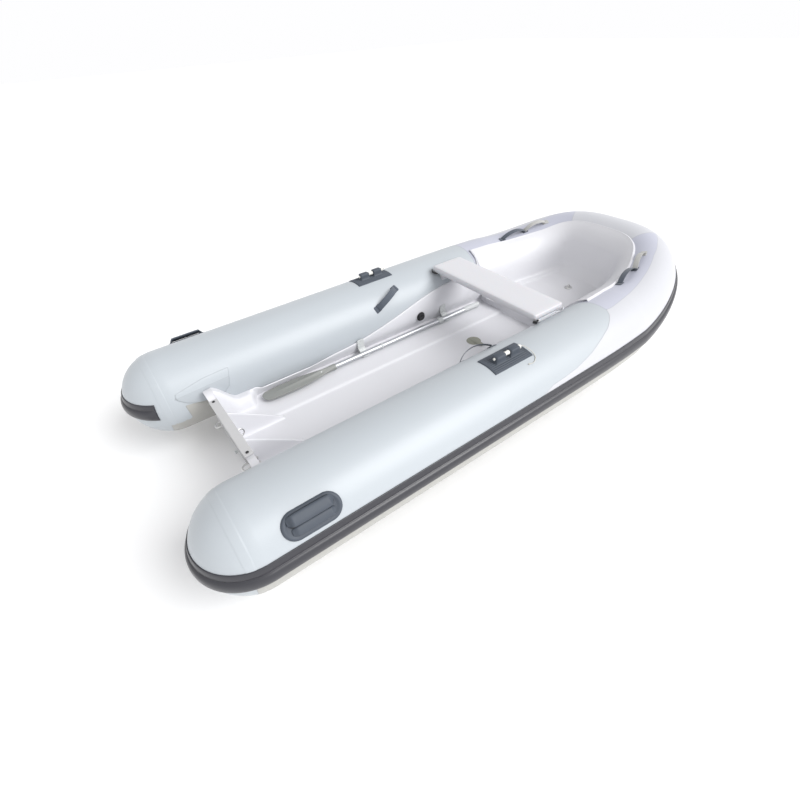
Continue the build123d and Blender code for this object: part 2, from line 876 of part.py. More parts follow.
# ---- seat ---------------------------------------------------------------------------------------
def make_seat_board():
    with BuildPart() as seat:
        with Locations((seat_x, 0, seat_top - seat_thickness / 2)):
            Box(seat_length, 2 * seat_half_span, seat_thickness)
        fillet(seat.edges(), seat_edge)
    return seat.part


def make_seat_bracket():
    """Wedge under the seat's end, shaped to the tube that it rests on."""
    under = seat_top - seat_thickness - seat_gap
    outer = seat_half_span - 6
    low = tube_height + sqrt(tube_radius**2 - (tube_half_spacing - bracket_inner) ** 2) - 20
    with BuildPart() as bracket:
        with BuildSketch(Plane.YZ.offset(seat_x - bracket_length / 2)):
            with BuildLine():
                Polyline([(bracket_inner, under), (outer, under), (outer, low), (bracket_inner, low)], close=True)
            make_face()
        extrude(amount=bracket_length)
        add(bow_space(seat_gap), mode=Mode.SUBTRACT)
    return bracket.part


def bow_space(gap):
    """The space of the port bow tube beside the seat, for shaping what rests on it."""
    with BuildPart() as space:
        for angle in bow_angles[:12]:
            with BuildSketch(bow_plane(angle)):
                Circle(radius_at(bow_axis(angle).X) + gap)
        loft(ruled=True)
    return space.part


# ---- inflation valves ---------------------------------------------------------------------------
def valve_plane(offset):
    """Plane at the valve, that far inboard of the flange's back: its Z points inboard."""
    back = inner_breadth(0, tube_height, liner_gap + laminate) - seat_gap
    return Plane((valve_x, back - offset, valve_z), x_dir=(1, 0, 0), z_dir=(0, -1, 0))


def make_valve_body():
    with BuildPart() as body:
        with BuildSketch(valve_plane(0)):
            Circle(valve_flange_radius)
            Circle(valve_bore_radius, mode=Mode.SUBTRACT)
        extrude(amount=valve_flange_thickness)
        with BuildSketch(valve_plane(0)):
            Circle(valve_barrel_radius)
            Circle(valve_bore_radius, mode=Mode.SUBTRACT)
        extrude(amount=-valve_barrel_length)
        with BuildSketch(valve_plane(-valve_barrel_length)):
            Circle(valve_bore_radius)
            Circle(valve_stem_radius + running_fit, mode=Mode.SUBTRACT)
        extrude(amount=3)
    return body.part


def make_valve_stem():
    """Push-to-open stem in the valve's spider, with the disc that seals behind it."""
    with BuildPart() as stem:
        with BuildSketch(valve_plane(-valve_barrel_length - 2)):
            Circle(valve_stem_radius)
        extrude(amount=valve_stem_length)
        with BuildSketch(valve_plane(-valve_barrel_length - seat_gap)):
            Circle(valve_bore_radius - 1)
        extrude(amount=-3)
    return stem.part


def make_valve_cap():
    gap = valve_flange_thickness + seat_gap
    with BuildPart() as cap:
        with BuildSketch(valve_plane(gap)):
            Circle(valve_cap_radius)
        extrude(amount=valve_cap_depth)
        with BuildSketch(valve_plane(gap)):
            Circle(valve_cap_radius - valve_cap_wall)
        extrude(amount=valve_cap_depth - valve_cap_wall, mode=Mode.SUBTRACT)
        with BuildSketch(valve_plane(gap + valve_cap_depth - 0.5)):
            SlotOverall(2 * valve_cap_radius - 8, 6)
        extrude(amount=4.5)
    return cap.part


# ---- oars ---------------------------------------------------------------------------------------
def oar_plane(x):
    """Plane across the oar: its Z points forward."""
    return Plane((x, oar_y, oar_z), x_dir=(0, 1, 0), z_dir=(1, 0, 0))


def make_oar_blade():
    """Spoonless blade with a socket that the shaft is pressed into."""
    root = oar_tip_x + blade_length
    with BuildPart() as blade:
        with BuildSketch(Plane.XY.offset(oar_z)):
            with BuildLine():
                half = blade_width / 2
                Spline((root, oar_y + shaft_radius), (root - 90, oar_y + half * 0.72),
                       (root - 210, oar_y + half), (oar_tip_x + 40, oar_y + half * 0.92))
                ThreePointArc((oar_tip_x + 40, oar_y + half * 0.92), (oar_tip_x, oar_y),
                              (oar_tip_x + 40, oar_y - half * 0.92))
                Spline((oar_tip_x + 40, oar_y - half * 0.92), (root - 210, oar_y - half),
                       (root - 90, oar_y - half * 0.72), (root, oar_y - shaft_radius))
                Line((root, oar_y - shaft_radius), (root, oar_y + shaft_radius))
            make_face()
        extrude(amount=blade_thickness / 2, both=True)
        with BuildSketch(oar_plane(root - 60)):
            Circle(shaft_radius + 3)
            Circle(shaft_radius + running_fit, mode=Mode.SUBTRACT)
        extrude(amount=90)
        with BuildSketch(oar_plane(root - 60)):
            Circle(shaft_radius + running_fit)
        extrude(amount=90, mode=Mode.SUBTRACT)
    return blade.part


def make_oar_shaft():
    start = oar_tip_x + blade_length - 60
    with BuildPart() as shaft:
        with BuildSketch(oar_plane(start)):
            Circle(shaft_radius)
            Circle(shaft_radius - shaft_wall, mode=Mode.SUBTRACT)
        extrude(amount=shaft_end_x - start)
    return shaft.part


def make_oar_collar():
    """Stop collar with the ears that take the oarlock pin."""
    with BuildPart() as collar:
        with BuildSketch(oar_plane(collar_x)):
            Circle(collar_radius)
            Circle(shaft_radius + running_fit, mode=Mode.SUBTRACT)
        extrude(amount=collar_length)
    return collar.part


def make_oar_grip():
    with BuildPart() as grip:
        with BuildSketch(oar_plane(shaft_end_x - grip_length)):
            Circle(grip_radius)
            Circle(shaft_radius + running_fit, mode=Mode.SUBTRACT)
        extrude(amount=grip_length)
        with BuildSketch(oar_plane(shaft_end_x)):
            Circle(grip_radius)
        extrude(amount=6)
    return grip.part


def make_oar_clips():
    """Two plates on the cockpit side, each with a half ring that cradles the shaft."""
    inner = shaft_radius + seat_gap
    outer = inner + clip_ring
    face = inner_breadth(0, clip_plate_top, liner_gap + laminate) - seat_gap
    with BuildPart() as clips:
        for x in clip_xs:
            plate_y = face - clip_plate_thickness / 2
            with Locations((x, plate_y, (clip_plate_top + clip_plate_bottom) / 2)):
                Box(clip_width, clip_plate_thickness, clip_plate_top - clip_plate_bottom)
            with BuildSketch(Plane.YZ.offset(x - clip_width / 2)):
                with Locations((oar_y, oar_z)):
                    Circle(outer)
                    Circle(inner, mode=Mode.SUBTRACT)
                with Locations((oar_y, oar_z + outer)):
                    Rectangle(4 * outer, 2 * outer, rotation=35, mode=Mode.SUBTRACT)
                with Locations(((oar_y + outer + face) / 2 - 1, oar_z)):
                    Rectangle(face - oar_y - outer + 4, 8)
            extrude(amount=clip_width)
    return clips.part


# ---- cockpit fittings ---------------------------------------------------------------------------
def make_bow_eye():
    """Lifting eye on the raised bow floor."""
    low = floor_at(bow_eye_x) + 6
    with BuildPart() as eye:
        with BuildSketch(Plane.XY.offset(low)):
            with Locations((bow_eye_x, 0)):
                Circle(bow_eye_plate)
        extrude(amount=3)
        centre = Vector(bow_eye_x, 0, low + 3)
        with BuildSketch(Plane(centre + Vector(bow_eye_radius, 0, 0), x_dir=(1, 0, 0), z_dir=(0, 0, 1))):
            Circle(ring_rod)
        revolve(axis=Axis(centre, (0, 1, 0)), revolution_arc=-180)
    return eye.part


def make_floor_patch():
    """Round lashing patch on the cockpit floor with a webbing tab."""
    low = floor_height + seat_gap
    with BuildPart() as patch:
        with BuildSketch(Plane.XY.offset(low)):
            with Locations((floor_patch_x, 0)):
                Circle(floor_patch_radius)
        extrude(amount=floor_patch_thickness)
        with BuildSketch(Plane.XY.offset(low + floor_patch_thickness)):
            with Locations((floor_patch_x + 2, -33)):
                Rectangle(28, 78)
        extrude(amount=strap_thickness)
    return patch.part


def make_bow_baffle():
    """Wall inside the stem that parts the two air chambers."""
    with BuildPart() as baffle:
        with BuildSketch(Plane.XZ):
            with Locations((bow_centre, axis_height(bow_centre))):
                Circle(bow_radius - fabric - seat_gap)
        extrude(amount=fabric / 2, both=True)
    return baffle.part


os.makedirs("parts", exist_ok=True)

pairs = {
    "side_tube": make_side_tube, "bow_tube": make_bow_tube, "stern_cone": make_stern_cone,
    "rub_strake": make_rub_strake, "transom_knee": make_transom_knee, "stern_eye": make_stern_eye,
    "carry_handle": make_carry_handle, "oarlock_base": make_oarlock_base, "oarlock_pin": make_oarlock_pin,
    "pin_lanyard": make_lanyard, "lanyard_knot": make_knot, "cockpit_strap": make_cockpit_strap,
    "bow_strap": make_bow_strap, "seat_bracket": make_seat_bracket, "valve_body": make_valve_body,
    "valve_stem": make_valve_stem, "valve_cap": make_valve_cap, "oar_blade": make_oar_blade,
    "oar_shaft": make_oar_shaft, "oar_collar": make_oar_collar, "oar_grip": make_oar_grip,
    "oar_clips": make_oar_clips,
}
for name, make in pairs.items():
    save_pair(make(), name)

singles = {
    "hull_shell": make_hull_shell, "keel_band": make_keel_band, "hull_stringers": make_stringers,
    "deck_liner": make_deck_liner, "transom_board": make_transom_board, "transom_cap": make_transom_cap,
    "transom_screws": make_transom_screws, "motor_pad": make_motor_pad, "transom_ring": make_transom_ring,
    "drain_socket": make_drain_socket, "drain_plug": make_drain_plug, "seat_board": make_seat_board,
    "bow_eye": make_bow_eye, "floor_patch": make_floor_patch, "bow_baffle": make_bow_baffle,
}
for name, make in singles.items():
    save(make(), name)
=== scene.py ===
"""Looks of the rigid-hull dinghy: air tubes, mouldings, fittings, materials, light and camera.

Everything is in metres in the boat's own frame: X forward, Y to port, Z up. Pieces of the port side
are worked out first, and the starboard ones are their mirror images.
"""

import math

import bmesh
import bpy
import numpy as np
from mathutils import Matrix, Vector


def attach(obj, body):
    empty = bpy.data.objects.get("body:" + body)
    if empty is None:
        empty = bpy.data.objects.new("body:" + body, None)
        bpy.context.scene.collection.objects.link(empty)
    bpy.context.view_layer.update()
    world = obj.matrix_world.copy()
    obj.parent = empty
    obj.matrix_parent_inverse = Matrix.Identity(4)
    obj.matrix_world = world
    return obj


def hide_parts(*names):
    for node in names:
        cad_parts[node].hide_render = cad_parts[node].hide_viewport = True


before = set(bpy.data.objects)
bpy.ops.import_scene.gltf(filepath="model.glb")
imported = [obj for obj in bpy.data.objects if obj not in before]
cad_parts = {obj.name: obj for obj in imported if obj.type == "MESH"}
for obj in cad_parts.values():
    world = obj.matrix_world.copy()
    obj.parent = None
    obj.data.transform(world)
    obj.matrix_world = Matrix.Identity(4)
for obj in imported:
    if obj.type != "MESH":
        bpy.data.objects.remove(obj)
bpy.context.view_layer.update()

bl_info = {
    "name": "Rigid-hull dinghy",
    "version": (1, 0, 0),
    "blender": (4, 5, 0),
    "location": "View3D > Sidebar > Dinghy",
    "description": "Builds the looks of a rigid-hull inflatable dinghy round its CAD frame",
    "category": "Add Mesh",
}

# ---- the boat's fixed shape, as in the CAD ------------------------------------------------------
TUBE_RADIUS = 0.203
BOW_RADIUS = 0.153
HALF_SPACING = 0.515
TUBE_HEIGHT = 0.303
BOW_LIFT = 0.157
STERN_CENTRE = -1.347
SIDE_END = 0.090
CLIMB_START = 0.738
BOW_CENTRE = 1.397
FULLNESS = 3.33
FLOOR = 0.185
SIDE_DECK = 0.195
FLOOR_HALF = 0.122
BOW_STEP = 0.592
BOW_FLOOR = 0.235
BOW_FLOOR_FRONT = 0.300
BOW_FLOOR_CLIMB = 1.000
LINER_FRONT = 1.215
RAKE = math.radians(8)
TRANSOM_FOOT = -1.150
TRANSOM_THICK = 0.034
TRANSOM_TOP = 0.352
KEEL_HALF = 0.050
KEEL_RISE_START = 0.450
HULL_END = 1.290
HULL_TIP = 1.400
HULL_HALF_BEAM = 0.400
MOULDING = 0.004          # thickness of the hull and deck mouldings
CLEARANCE = 0.0003        # keeps two faces that touch from lying in one plane
BAND_SPACING = 0.314      # of a wave texture of scale 1


def climb(x):
    """0 where the tubes lie level, 1 at the stem."""
    return np.clip((x - CLIMB_START) / (BOW_CENTRE - CLIMB_START), 0, 1)


def axis_height(x):
    return TUBE_HEIGHT + BOW_LIFT * climb(x) ** 2


def radius_at(x):
    return TUBE_RADIUS + (BOW_RADIUS - TUBE_RADIUS) * climb(x)


def smooth(share):
    share = np.clip(share, 0, 1)
    return share * share * (3 - 2 * share)


def unit(vectors):
    return vectors / np.linalg.norm(vectors, axis=-1, keepdims=True)


def bow_axis(station):
    """A superellipse in plan: station 90 degrees ends the port side, 0 is the stem, -90 starboard."""
    along, across = np.cos(np.radians(station)), np.sin(np.radians(station))
    reach = (np.abs(along) ** FULLNESS + np.abs(across) ** FULLNESS) ** (-1 / FULLNESS)
    x = SIDE_END + (BOW_CENTRE - SIDE_END) * reach * along
    return np.stack([x, HALF_SPACING * reach * across, axis_height(x)], -1)


def bow_frames(stations):
    """Centre, outboard, up and radius of the bow tube at each station."""
    stations = np.asarray(stations, float)
    centre = bow_axis(stations)
    ahead = unit(bow_axis(stations - 1) - bow_axis(stations + 1))
    out = unit(np.cross([0.0, 0.0, 1.0], ahead))
    return centre, out, np.cross(ahead, out), radius_at(centre[..., 0])


def side_frames(xs):
    """Centre, outboard, up and radius of the port side tube at each X."""
    xs = np.asarray(xs, float)
    one = np.ones_like(xs)
    centre = np.stack([xs, HALF_SPACING * one, TUBE_HEIGHT * one], -1)
    return (centre, np.stack([0 * one, one, 0 * one], -1), np.stack([0 * one, 0 * one, one], -1),
            TUBE_RADIUS * one)


def on_tube(frames, around, proud=0.0):
    """Centre + (radius + proud) times (outboard cos a + up sin a), with a in degrees up from outboard."""
    centre, out, up, radius = frames
    angle = np.radians(np.broadcast_to(around, (len(radius), np.shape(around)[-1])))
    reach = radius[:, None] + proud
    return (centre[:, None] + out[:, None] * (reach * np.cos(angle))[..., None]
            + up[:, None] * (reach * np.sin(angle))[..., None])


def side_point(x, angle, proud=0.0):
    """One point on the port side tube."""
    return on_tube(side_frames([x]), [angle], proud)[0, 0]


def path_length(points):
    """Distance along a line of points, from its first."""
    return np.concatenate([[0.0], np.cumsum(np.linalg.norm(np.diff(points, axis=0), axis=1))])


def floor_at(x):
    rise = np.maximum(x - BOW_FLOOR_CLIMB, 0) / (LINER_FRONT - BOW_FLOOR_CLIMB)
    return BOW_FLOOR + (BOW_FLOOR_FRONT - BOW_FLOOR) * rise**2


def transom_frame():
    """Origin, port, up and forward of the raked transom's forward face."""
    return (np.array([TRANSOM_FOOT, 0, 0]), np.array([0, 1.0, 0]),
            np.array([-math.sin(RAKE), 0, math.cos(RAKE)]), np.array([math.cos(RAKE), 0, math.sin(RAKE)]))


def on_transom(y, height, forward):
    """Point at a height above the keel, forward of the face; arrays work too."""
    origin, port, up, ahead = transom_frame()
    up_face = np.asarray(height, float) / math.cos(RAKE)
    y, forward = np.asarray(y, float), np.asarray(forward, float)
    return origin + y[..., None] * port + up_face[..., None] * up + forward[..., None] * ahead


# ---- meshes -------------------------------------------------------------------------------------
def mesh_object(name, points, faces, uv, values):
    """A mesh from arrays: corners' UVs come from each vertex, values are named point attributes."""
    mesh = bpy.data.meshes.new(name)
    faces = np.asarray(faces, np.int32)
    mesh.vertices.add(len(points))
    mesh.vertices.foreach_set("co", np.asarray(points, np.float32).ravel())
    mesh.loops.add(faces.size)
    mesh.loops.foreach_set("vertex_index", faces.ravel())
    mesh.polygons.add(len(faces))
    mesh.polygons.foreach_set("loop_start", np.arange(len(faces), dtype=np.int32) * faces.shape[1])
    mesh.update(calc_edges=True)
    layer = mesh.uv_layers.new(name="UVMap")
    layer.data.foreach_set("uv", np.asarray(uv, np.float32)[faces.ravel()].ravel())
    for key, value in values.items():
        attribute = mesh.attributes.new(key, "FLOAT", "POINT")
        attribute.data.foreach_set("value", np.asarray(value, np.float32).ravel())
    mesh.polygons.foreach_set("use_smooth", np.full(len(faces), True))
    mesh.validate()
    made = bpy.data.objects.new(name, mesh)
    bpy.context.scene.collection.objects.link(made)
    return made


def surface(name, points, closed=(False, False), flip=False, uv=None, values=None):
    """Grid of quads over points[u, v]; a closed direction joins its last row to its first."""
    nu, nv = points.shape[:2]
    u = np.arange(nu if closed[0] else nu - 1)
    v = np.arange(nv if closed[1] else nv - 1)
    u, v = (a.ravel() for a in np.meshgrid(u, v, indexing="ij"))
    un, vn = (u + 1) % nu, (v + 1) % nv
    faces = np.stack([u * nv + v, un * nv + v, un * nv + vn, u * nv + vn], 1)
    if flip:
        faces = faces[:, ::-1]
    if uv is None:
        across = np.linalg.norm(np.diff(points, axis=1, prepend=points[:, :1]), axis=2).cumsum(1)
        along = np.linalg.norm(np.diff(points, axis=0, prepend=points[:1]), axis=2).cumsum(0)
        uv = np.stack([along, across], -1)
    values = {key: value.reshape(-1) for key, value in (values or {}).items()}
    return mesh_object(name, points.reshape(-1, 3), faces, uv.reshape(-1, 2), values)


def weld(made, distance=1e-5, outward=False):
    """Merge doubled vertices, drop flat faces, and turn faces outwards on a closed shell."""
    work = bmesh.new()
    work.from_mesh(made.data)
    bmesh.ops.remove_doubles(work, verts=work.verts, dist=distance)
    bmesh.ops.dissolve_degenerate(work, edges=work.edges, dist=distance / 2)
    if outward:
        bmesh.ops.recalc_face_normals(work, faces=work.faces)
    work.to_mesh(made.data)
    work.free()
    return made


def capped(rings):
    """Rings [n, m, 3] with the first and last drawn in to their middles."""
    ends = np.broadcast_to(rings[[0, -1]].mean(1, keepdims=True), (2, *rings.shape[1:]))
    return np.concatenate([ends[:1], rings, ends[1:]])


def shell(name, rings, uv=None):
    """Closed form through rings, of which the first and last are points."""
    return weld(surface(name, rings, (False, True), uv=uv), 1e-6, outward=True)


def stacked(name, rows, place, corner_steps=8):
    """Closed form from a stack of rounded outlines, each (length, width, corner, height)."""
    rings = []
    for length, width, corner, height in rows:
        flat = rounded(length, width, corner, corner_steps)
        rings.append(np.concatenate([flat, np.full((len(flat), 1), height)], 1))
    rings = np.stack([rings[0] * [0, 0, 1], *rings, rings[-1] * [0, 0, 1]])
    return shell(name, place(rings[..., 0], rings[..., 1], rings[..., 2]))


def join(name, objects):
    """Several objects as one piece, under one name."""
    bpy.ops.object.select_all(action="DESELECT")
    for each in objects:
        each.select_set(True)
    bpy.context.view_layer.objects.active = objects[0]
    bpy.ops.object.join()
    objects[0].name = objects[0].data.name = name
    return objects[0]


def bevel(made, width, segments):
    """Round the edges sharper than 35 degrees, with the bevel's own shading."""
    change = made.modifiers.new("Rounded edges", "BEVEL")
    change.width, change.segments = width, segments
    change.limit_method, change.angle_limit = "ANGLE", math.radians(35)
    change.harden_normals = True


def thicken(made):
    """Give a surface the mouldings' wall behind its face."""
    change = made.modifiers.new("Wall", "SOLIDIFY")
    change.thickness, change.offset = MOULDING, -1.0


def outline_plate(name, outline, thickness, place, width=0.0, segments=3):
    """Flat outline [n, 2] placed by place(across, up, out), from out 0 to thickness, edges rounded."""
    outline = np.asarray(outline, float)
    count = len(outline)
    low = place(outline[:, 0], outline[:, 1], np.zeros(count))
    high = place(outline[:, 0], outline[:, 1], np.full(count, thickness))
    mesh = bpy.data.meshes.new(name)
    ring = np.arange(count)
    sides = np.stack([ring, (ring + 1) % count, (ring + 1) % count + count, ring + count], 1)
    mesh.from_pydata(np.concatenate([low, high]).tolist(), [],
                     [ring[::-1].tolist(), (ring + count).tolist(), *sides.tolist()])
    made = bpy.data.objects.new(name, mesh)
    bpy.context.scene.collection.objects.link(made)
    weld(made, 1e-6, outward=True)
    made.data.shade_smooth()
    flat_uv(made)
    if width:
        bevel(made, width, segments)
    return made


def flat_uv(made):
    """UVs in metres from each face's two widest directions."""
    mesh = made.data
    co = np.zeros(len(mesh.vertices) * 3)
    mesh.vertices.foreach_get("co", co)
    co = co.reshape(-1, 3)
    spread = np.argsort(-(co.max(0) - co.min(0)))[:2]
    index = np.zeros(len(mesh.loops), np.int32)
    mesh.loops.foreach_get("vertex_index", index)
    layer = mesh.uv_layers.get("UVMap") or mesh.uv_layers.new(name="UVMap")
    layer.data.foreach_set("uv", co[index][:, spread].astype(np.float32).ravel())


def rounded(width, height, corner, steps=6):
    """Outline of a rectangle with round corners, centred."""
    turn = np.radians(np.arange(steps + 1) * 90 / steps)
    parts = []
    for quarter, (sx, sy) in enumerate([(1, 1), (-1, 1), (-1, -1), (1, -1)]):
        angle = turn + quarter * math.pi / 2
        parts.append(np.stack([sx * (width / 2 - corner) + corner * np.cos(angle),
                               sy * (height / 2 - corner) + corner * np.sin(angle)], 1))
    return np.concatenate(parts)


def placer(origin, across, up, out):
    """Turns flat coordinates into points: origin + a across + b up + c out."""
    origin, across, up, out = (np.asarray(v, float) for v in (origin, across, up, out))
    return lambda a, b, c: (origin + np.asarray(a)[..., None] * across + np.asarray(b)[..., None] * up
                            + np.asarray(c)[..., None] * out)


def lathe(name, profile, origin, axis, steps=40):
    """Profile of (radius, distance along the axis) turned once round it; ends at radius 0 close."""
    axis = unit(np.asarray(axis, float))
    side = unit(np.cross(axis, [0.0, 0.0, 1.0] if abs(axis[2]) < 0.9 else [1.0, 0.0, 0.0]))
    other = np.cross(axis, side)
    radius, along = np.asarray(profile, float).T
    turn = np.radians(np.arange(steps) * 360 / steps)
    points = (np.asarray(origin, float) + along[:, None, None] * axis
              + radius[:, None, None] * (np.cos(turn)[:, None] * side + np.sin(turn)[:, None] * other))
    return weld(surface(name, points, (False, True)), outward=True)


def swept(name, path, section, up, uv=None):
    """Section [m, 2] (across, up) carried along path [n, 3], its ends capped."""
    path = np.asarray(path, float)
    ahead = unit(np.gradient(path, axis=0))
    across = unit(np.cross(ahead, np.broadcast_to(np.asarray(up, float), path.shape)))
    lift = np.cross(across, ahead)
    rings = path[:, None] + across[:, None] * section[:, :1] + lift[:, None] * section[:, 1:]
    return shell(name, capped(rings), uv)


def circle(radius, steps=20):
    turn = np.radians(np.arange(steps) * 360 / steps)
    return np.stack([radius * np.cos(turn), radius * np.sin(turn)], 1)


def eased(points, radii, steps=5):
    """Open polylines [..., k, 2], each inner corner eased by a quadratic arc that starts radii away."""
    out = [points[..., :1, :]]
    for k in range(1, points.shape[-2] - 1):
        before, here, after = points[..., k - 1, :], points[..., k, :], points[..., k + 1, :]
        back, on = before - here, after - here
        reach_back = np.minimum(radii[k - 1], 0.45 * np.linalg.norm(back, axis=-1))[..., None]
        reach_on = np.minimum(radii[k - 1], 0.45 * np.linalg.norm(on, axis=-1))[..., None]
        start = here + back * reach_back / np.maximum(np.linalg.norm(back, axis=-1, keepdims=True), 1e-9)
        end = here + on * reach_on / np.maximum(np.linalg.norm(on, axis=-1, keepdims=True), 1e-9)
        t = np.linspace(0, 1, steps)[:, None]
        out.append((1 - t) ** 2 * start[..., None, :] + 2 * t * (1 - t) * here[..., None, :]
                   + t**2 * end[..., None, :])
    out.append(points[..., -1:, :])
    return np.concatenate(out, -2)


def distance_to(loop, spots):
    """Distance from each spot [..., 2] to a closed polyline, below zero inside it."""
    best = np.full(spots.shape[:-1], 1e9)
    inside = np.zeros(spots.shape[:-1], bool)
    for a, b in zip(loop, np.roll(loop, -1, 0)):
        run = b - a
        t = np.clip(((spots - a) @ run) / max(run @ run, 1e-12), 0, 1)
        best = np.minimum(best, np.linalg.norm(spots - (a + t[..., None] * run), axis=-1))
        inside ^= ((a[1] > spots[..., 1]) != (b[1] > spots[..., 1])) & (
            spots[..., 0] < run[0] * (spots[..., 1] - a[1]) / (run[1] + 1e-12) + a[0])
    return np.where(inside, -best, best)


def mirrored(made, name):
    """The starboard twin of a port piece, with its faces turned so that they still point outwards."""
    twin = made.copy()
    twin.data = made.data.copy()
    twin.name = twin.data.name = name
    bpy.context.scene.collection.objects.link(twin)
    twin.data.transform(Matrix.Diagonal((1, -1, 1, 1)))
    twin.data.flip_normals()
    return twin


finishes = {}   # materials by a key for each, filled once the colours are registered


def paint(node, finish):
    """Give a carried-over CAD node one of the finishes."""
    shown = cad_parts[node]
    shown.data.materials.clear()
    shown.data.materials.append(finishes[finish])


def settle(made, finish, body, nodes):
    """Give a piece its finish, body and the CAD nodes that it stands for."""
    made.data.materials.clear()
    made.data.materials.append(finishes[finish])
    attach(made, body)
    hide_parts(*nodes)


def settle_pair(made, finish, body, nodes, base):
    """The port piece and its starboard twin; {} in a name becomes the side."""
    made.name = made.data.name = base.format("port")
    twin = mirrored(made, base.format("starboard"))
    for each, side in ((made, "port"), (twin, "starboard")):
        settle(each, finish, body.format(side), [node.format(side) for node in nodes])


# ---- sizes and colours that a user may change ---------------------------------------------------
def linear(code):
    """An sRGB hex colour as linear red, green, blue and a full alpha."""
    shares = [int(code[i:i + 2], 16) / 255 for i in (1, 3, 5)]
    return tuple(c / 12.92 if c <= 0.04045 else ((c + 0.055) / 1.055) ** 2.4 for c in shares) + (1.0,)


def colour(label, code):
    return bpy.props.FloatVectorProperty(name=label, description=f"Colour of the {label.lower()}",
                                         subtype="COLOR", size=4, min=0, max=1, default=linear(code))


def size(label, value, text):
    return bpy.props.FloatProperty(name=label, description=text, default=value, min=0, unit="LENGTH",
                                   precision=4)


class DinghyColours(bpy.types.PropertyGroup):
    """Colours of the boat's materials."""
    tube: colour("Grey tube fabric", "#B4BABF")
    bow: colour("White bow fabric", "#C6C7CC")
    band: colour("Pale band on the bow", "#B9BBC8")
    under: colour("Fabric under the tubes", "#ABAAA5")
    strake: colour("Rubbing strake", "#34343A")
    gelcoat: colour("Gelcoat", "#D8D8DC")
    seat: colour("Seat moulding", "#D2D2D6")
    slate: colour("Moulded handles", "#474E58")
    webbing: colour("Webbing", "#565E6A")
    pale_webbing: colour("Pale webbing", "#C9C9C6")
    cap: colour("Transom cap", "#C3C3C4")
    clip: colour("Oar clips", "#C6C9C9")
    blade: colour("Oar blade", "#8C8E8B")
    dark: colour("Dark plastic", "#28292C")
    patch: colour("Lashing patch", "#96978A")


class DinghySizes(bpy.types.PropertyGroup):
    """Small sizes of the boat's looks."""
    tape: size("Seam tape", 0.0012, "How far the tape round each stern dome stands proud")
    weave: size("Fabric weave", 0.003, "Spacing of the weave that shows through the tubes' coating")
    strap: size("Webbing", 0.0025, "Thickness of the webbing straps")
    edge: size("Moulded edges", 0.004, "Rounding of the mouldings' edges")


# ---- materials ----------------------------------------------------------------------------------
def add_node(tree, kind, settings=None, links=None):
    """Add a node, set its inputs or properties by name, and link its inputs from other nodes' outputs."""
    made = tree.nodes.new(kind)
    for key, value in (settings or {}).items():
        if isinstance(key, str) and hasattr(made, key):
            setattr(made, key, value)
        else:
            made.inputs[key].default_value = value
    for key, source in (links or {}).items():
        tree.links.new(source, made.inputs[key])
    return made


def darker(tint, share):
    """A colour times share, opaque."""
    return tuple(c * share for c in tint[:3]) + (1.0,)


def start_material(name, settings):
    """A material with a Principled shader; returns it, its tree and the shader."""
    material = bpy.data.materials.new(name)
    material.use_nodes = True
    tree = material.node_tree
    shader = tree.nodes["Principled BSDF"]
    for key, value in settings.items():
        shader.inputs[key].default_value = value
    return material, tree, shader


def simple_material(name, tint, settings, grain_mm, height_mm, mottle_mm=60, depth=0.05, rough=None):
    """Tint mottled darker by up to depth, over a grain of that size and height; rough is a range."""
    material, tree, shader = start_material(name, settings)
    coords = add_node(tree, "ShaderNodeTexCoord").outputs["Object"]
    mottle = add_node(tree, "ShaderNodeTexNoise", {"Scale": 1000 / mottle_mm, "Detail": 4.0},
                      {"Vector": coords})
    mixed = add_node(tree, "ShaderNodeMix", {"data_type": "RGBA", 6: darker(tint, 1 - depth), 7: tuple(tint)},
                     {0: mottle.outputs["Fac"]})
    tree.links.new(mixed.outputs[2], shader.inputs["Base Color"])
    grain = add_node(tree, "ShaderNodeTexNoise", {"Scale": 1000 / grain_mm, "Detail": 3.0},
                     {"Vector": coords})
    bump = add_node(tree, "ShaderNodeBump", {"Strength": 1.0, "Distance": height_mm / 1000},
                    {"Height": grain.outputs["Fac"]})
    tree.links.new(bump.outputs["Normal"], shader.inputs["Normal"])
    if rough:
        spread = add_node(tree, "ShaderNodeMapRange", {"To Min": rough[0], "To Max": rough[1]},
                          {"Value": grain.outputs["Fac"]})
        tree.links.new(spread.outputs["Result"], shader.inputs["Roughness"])
    return material


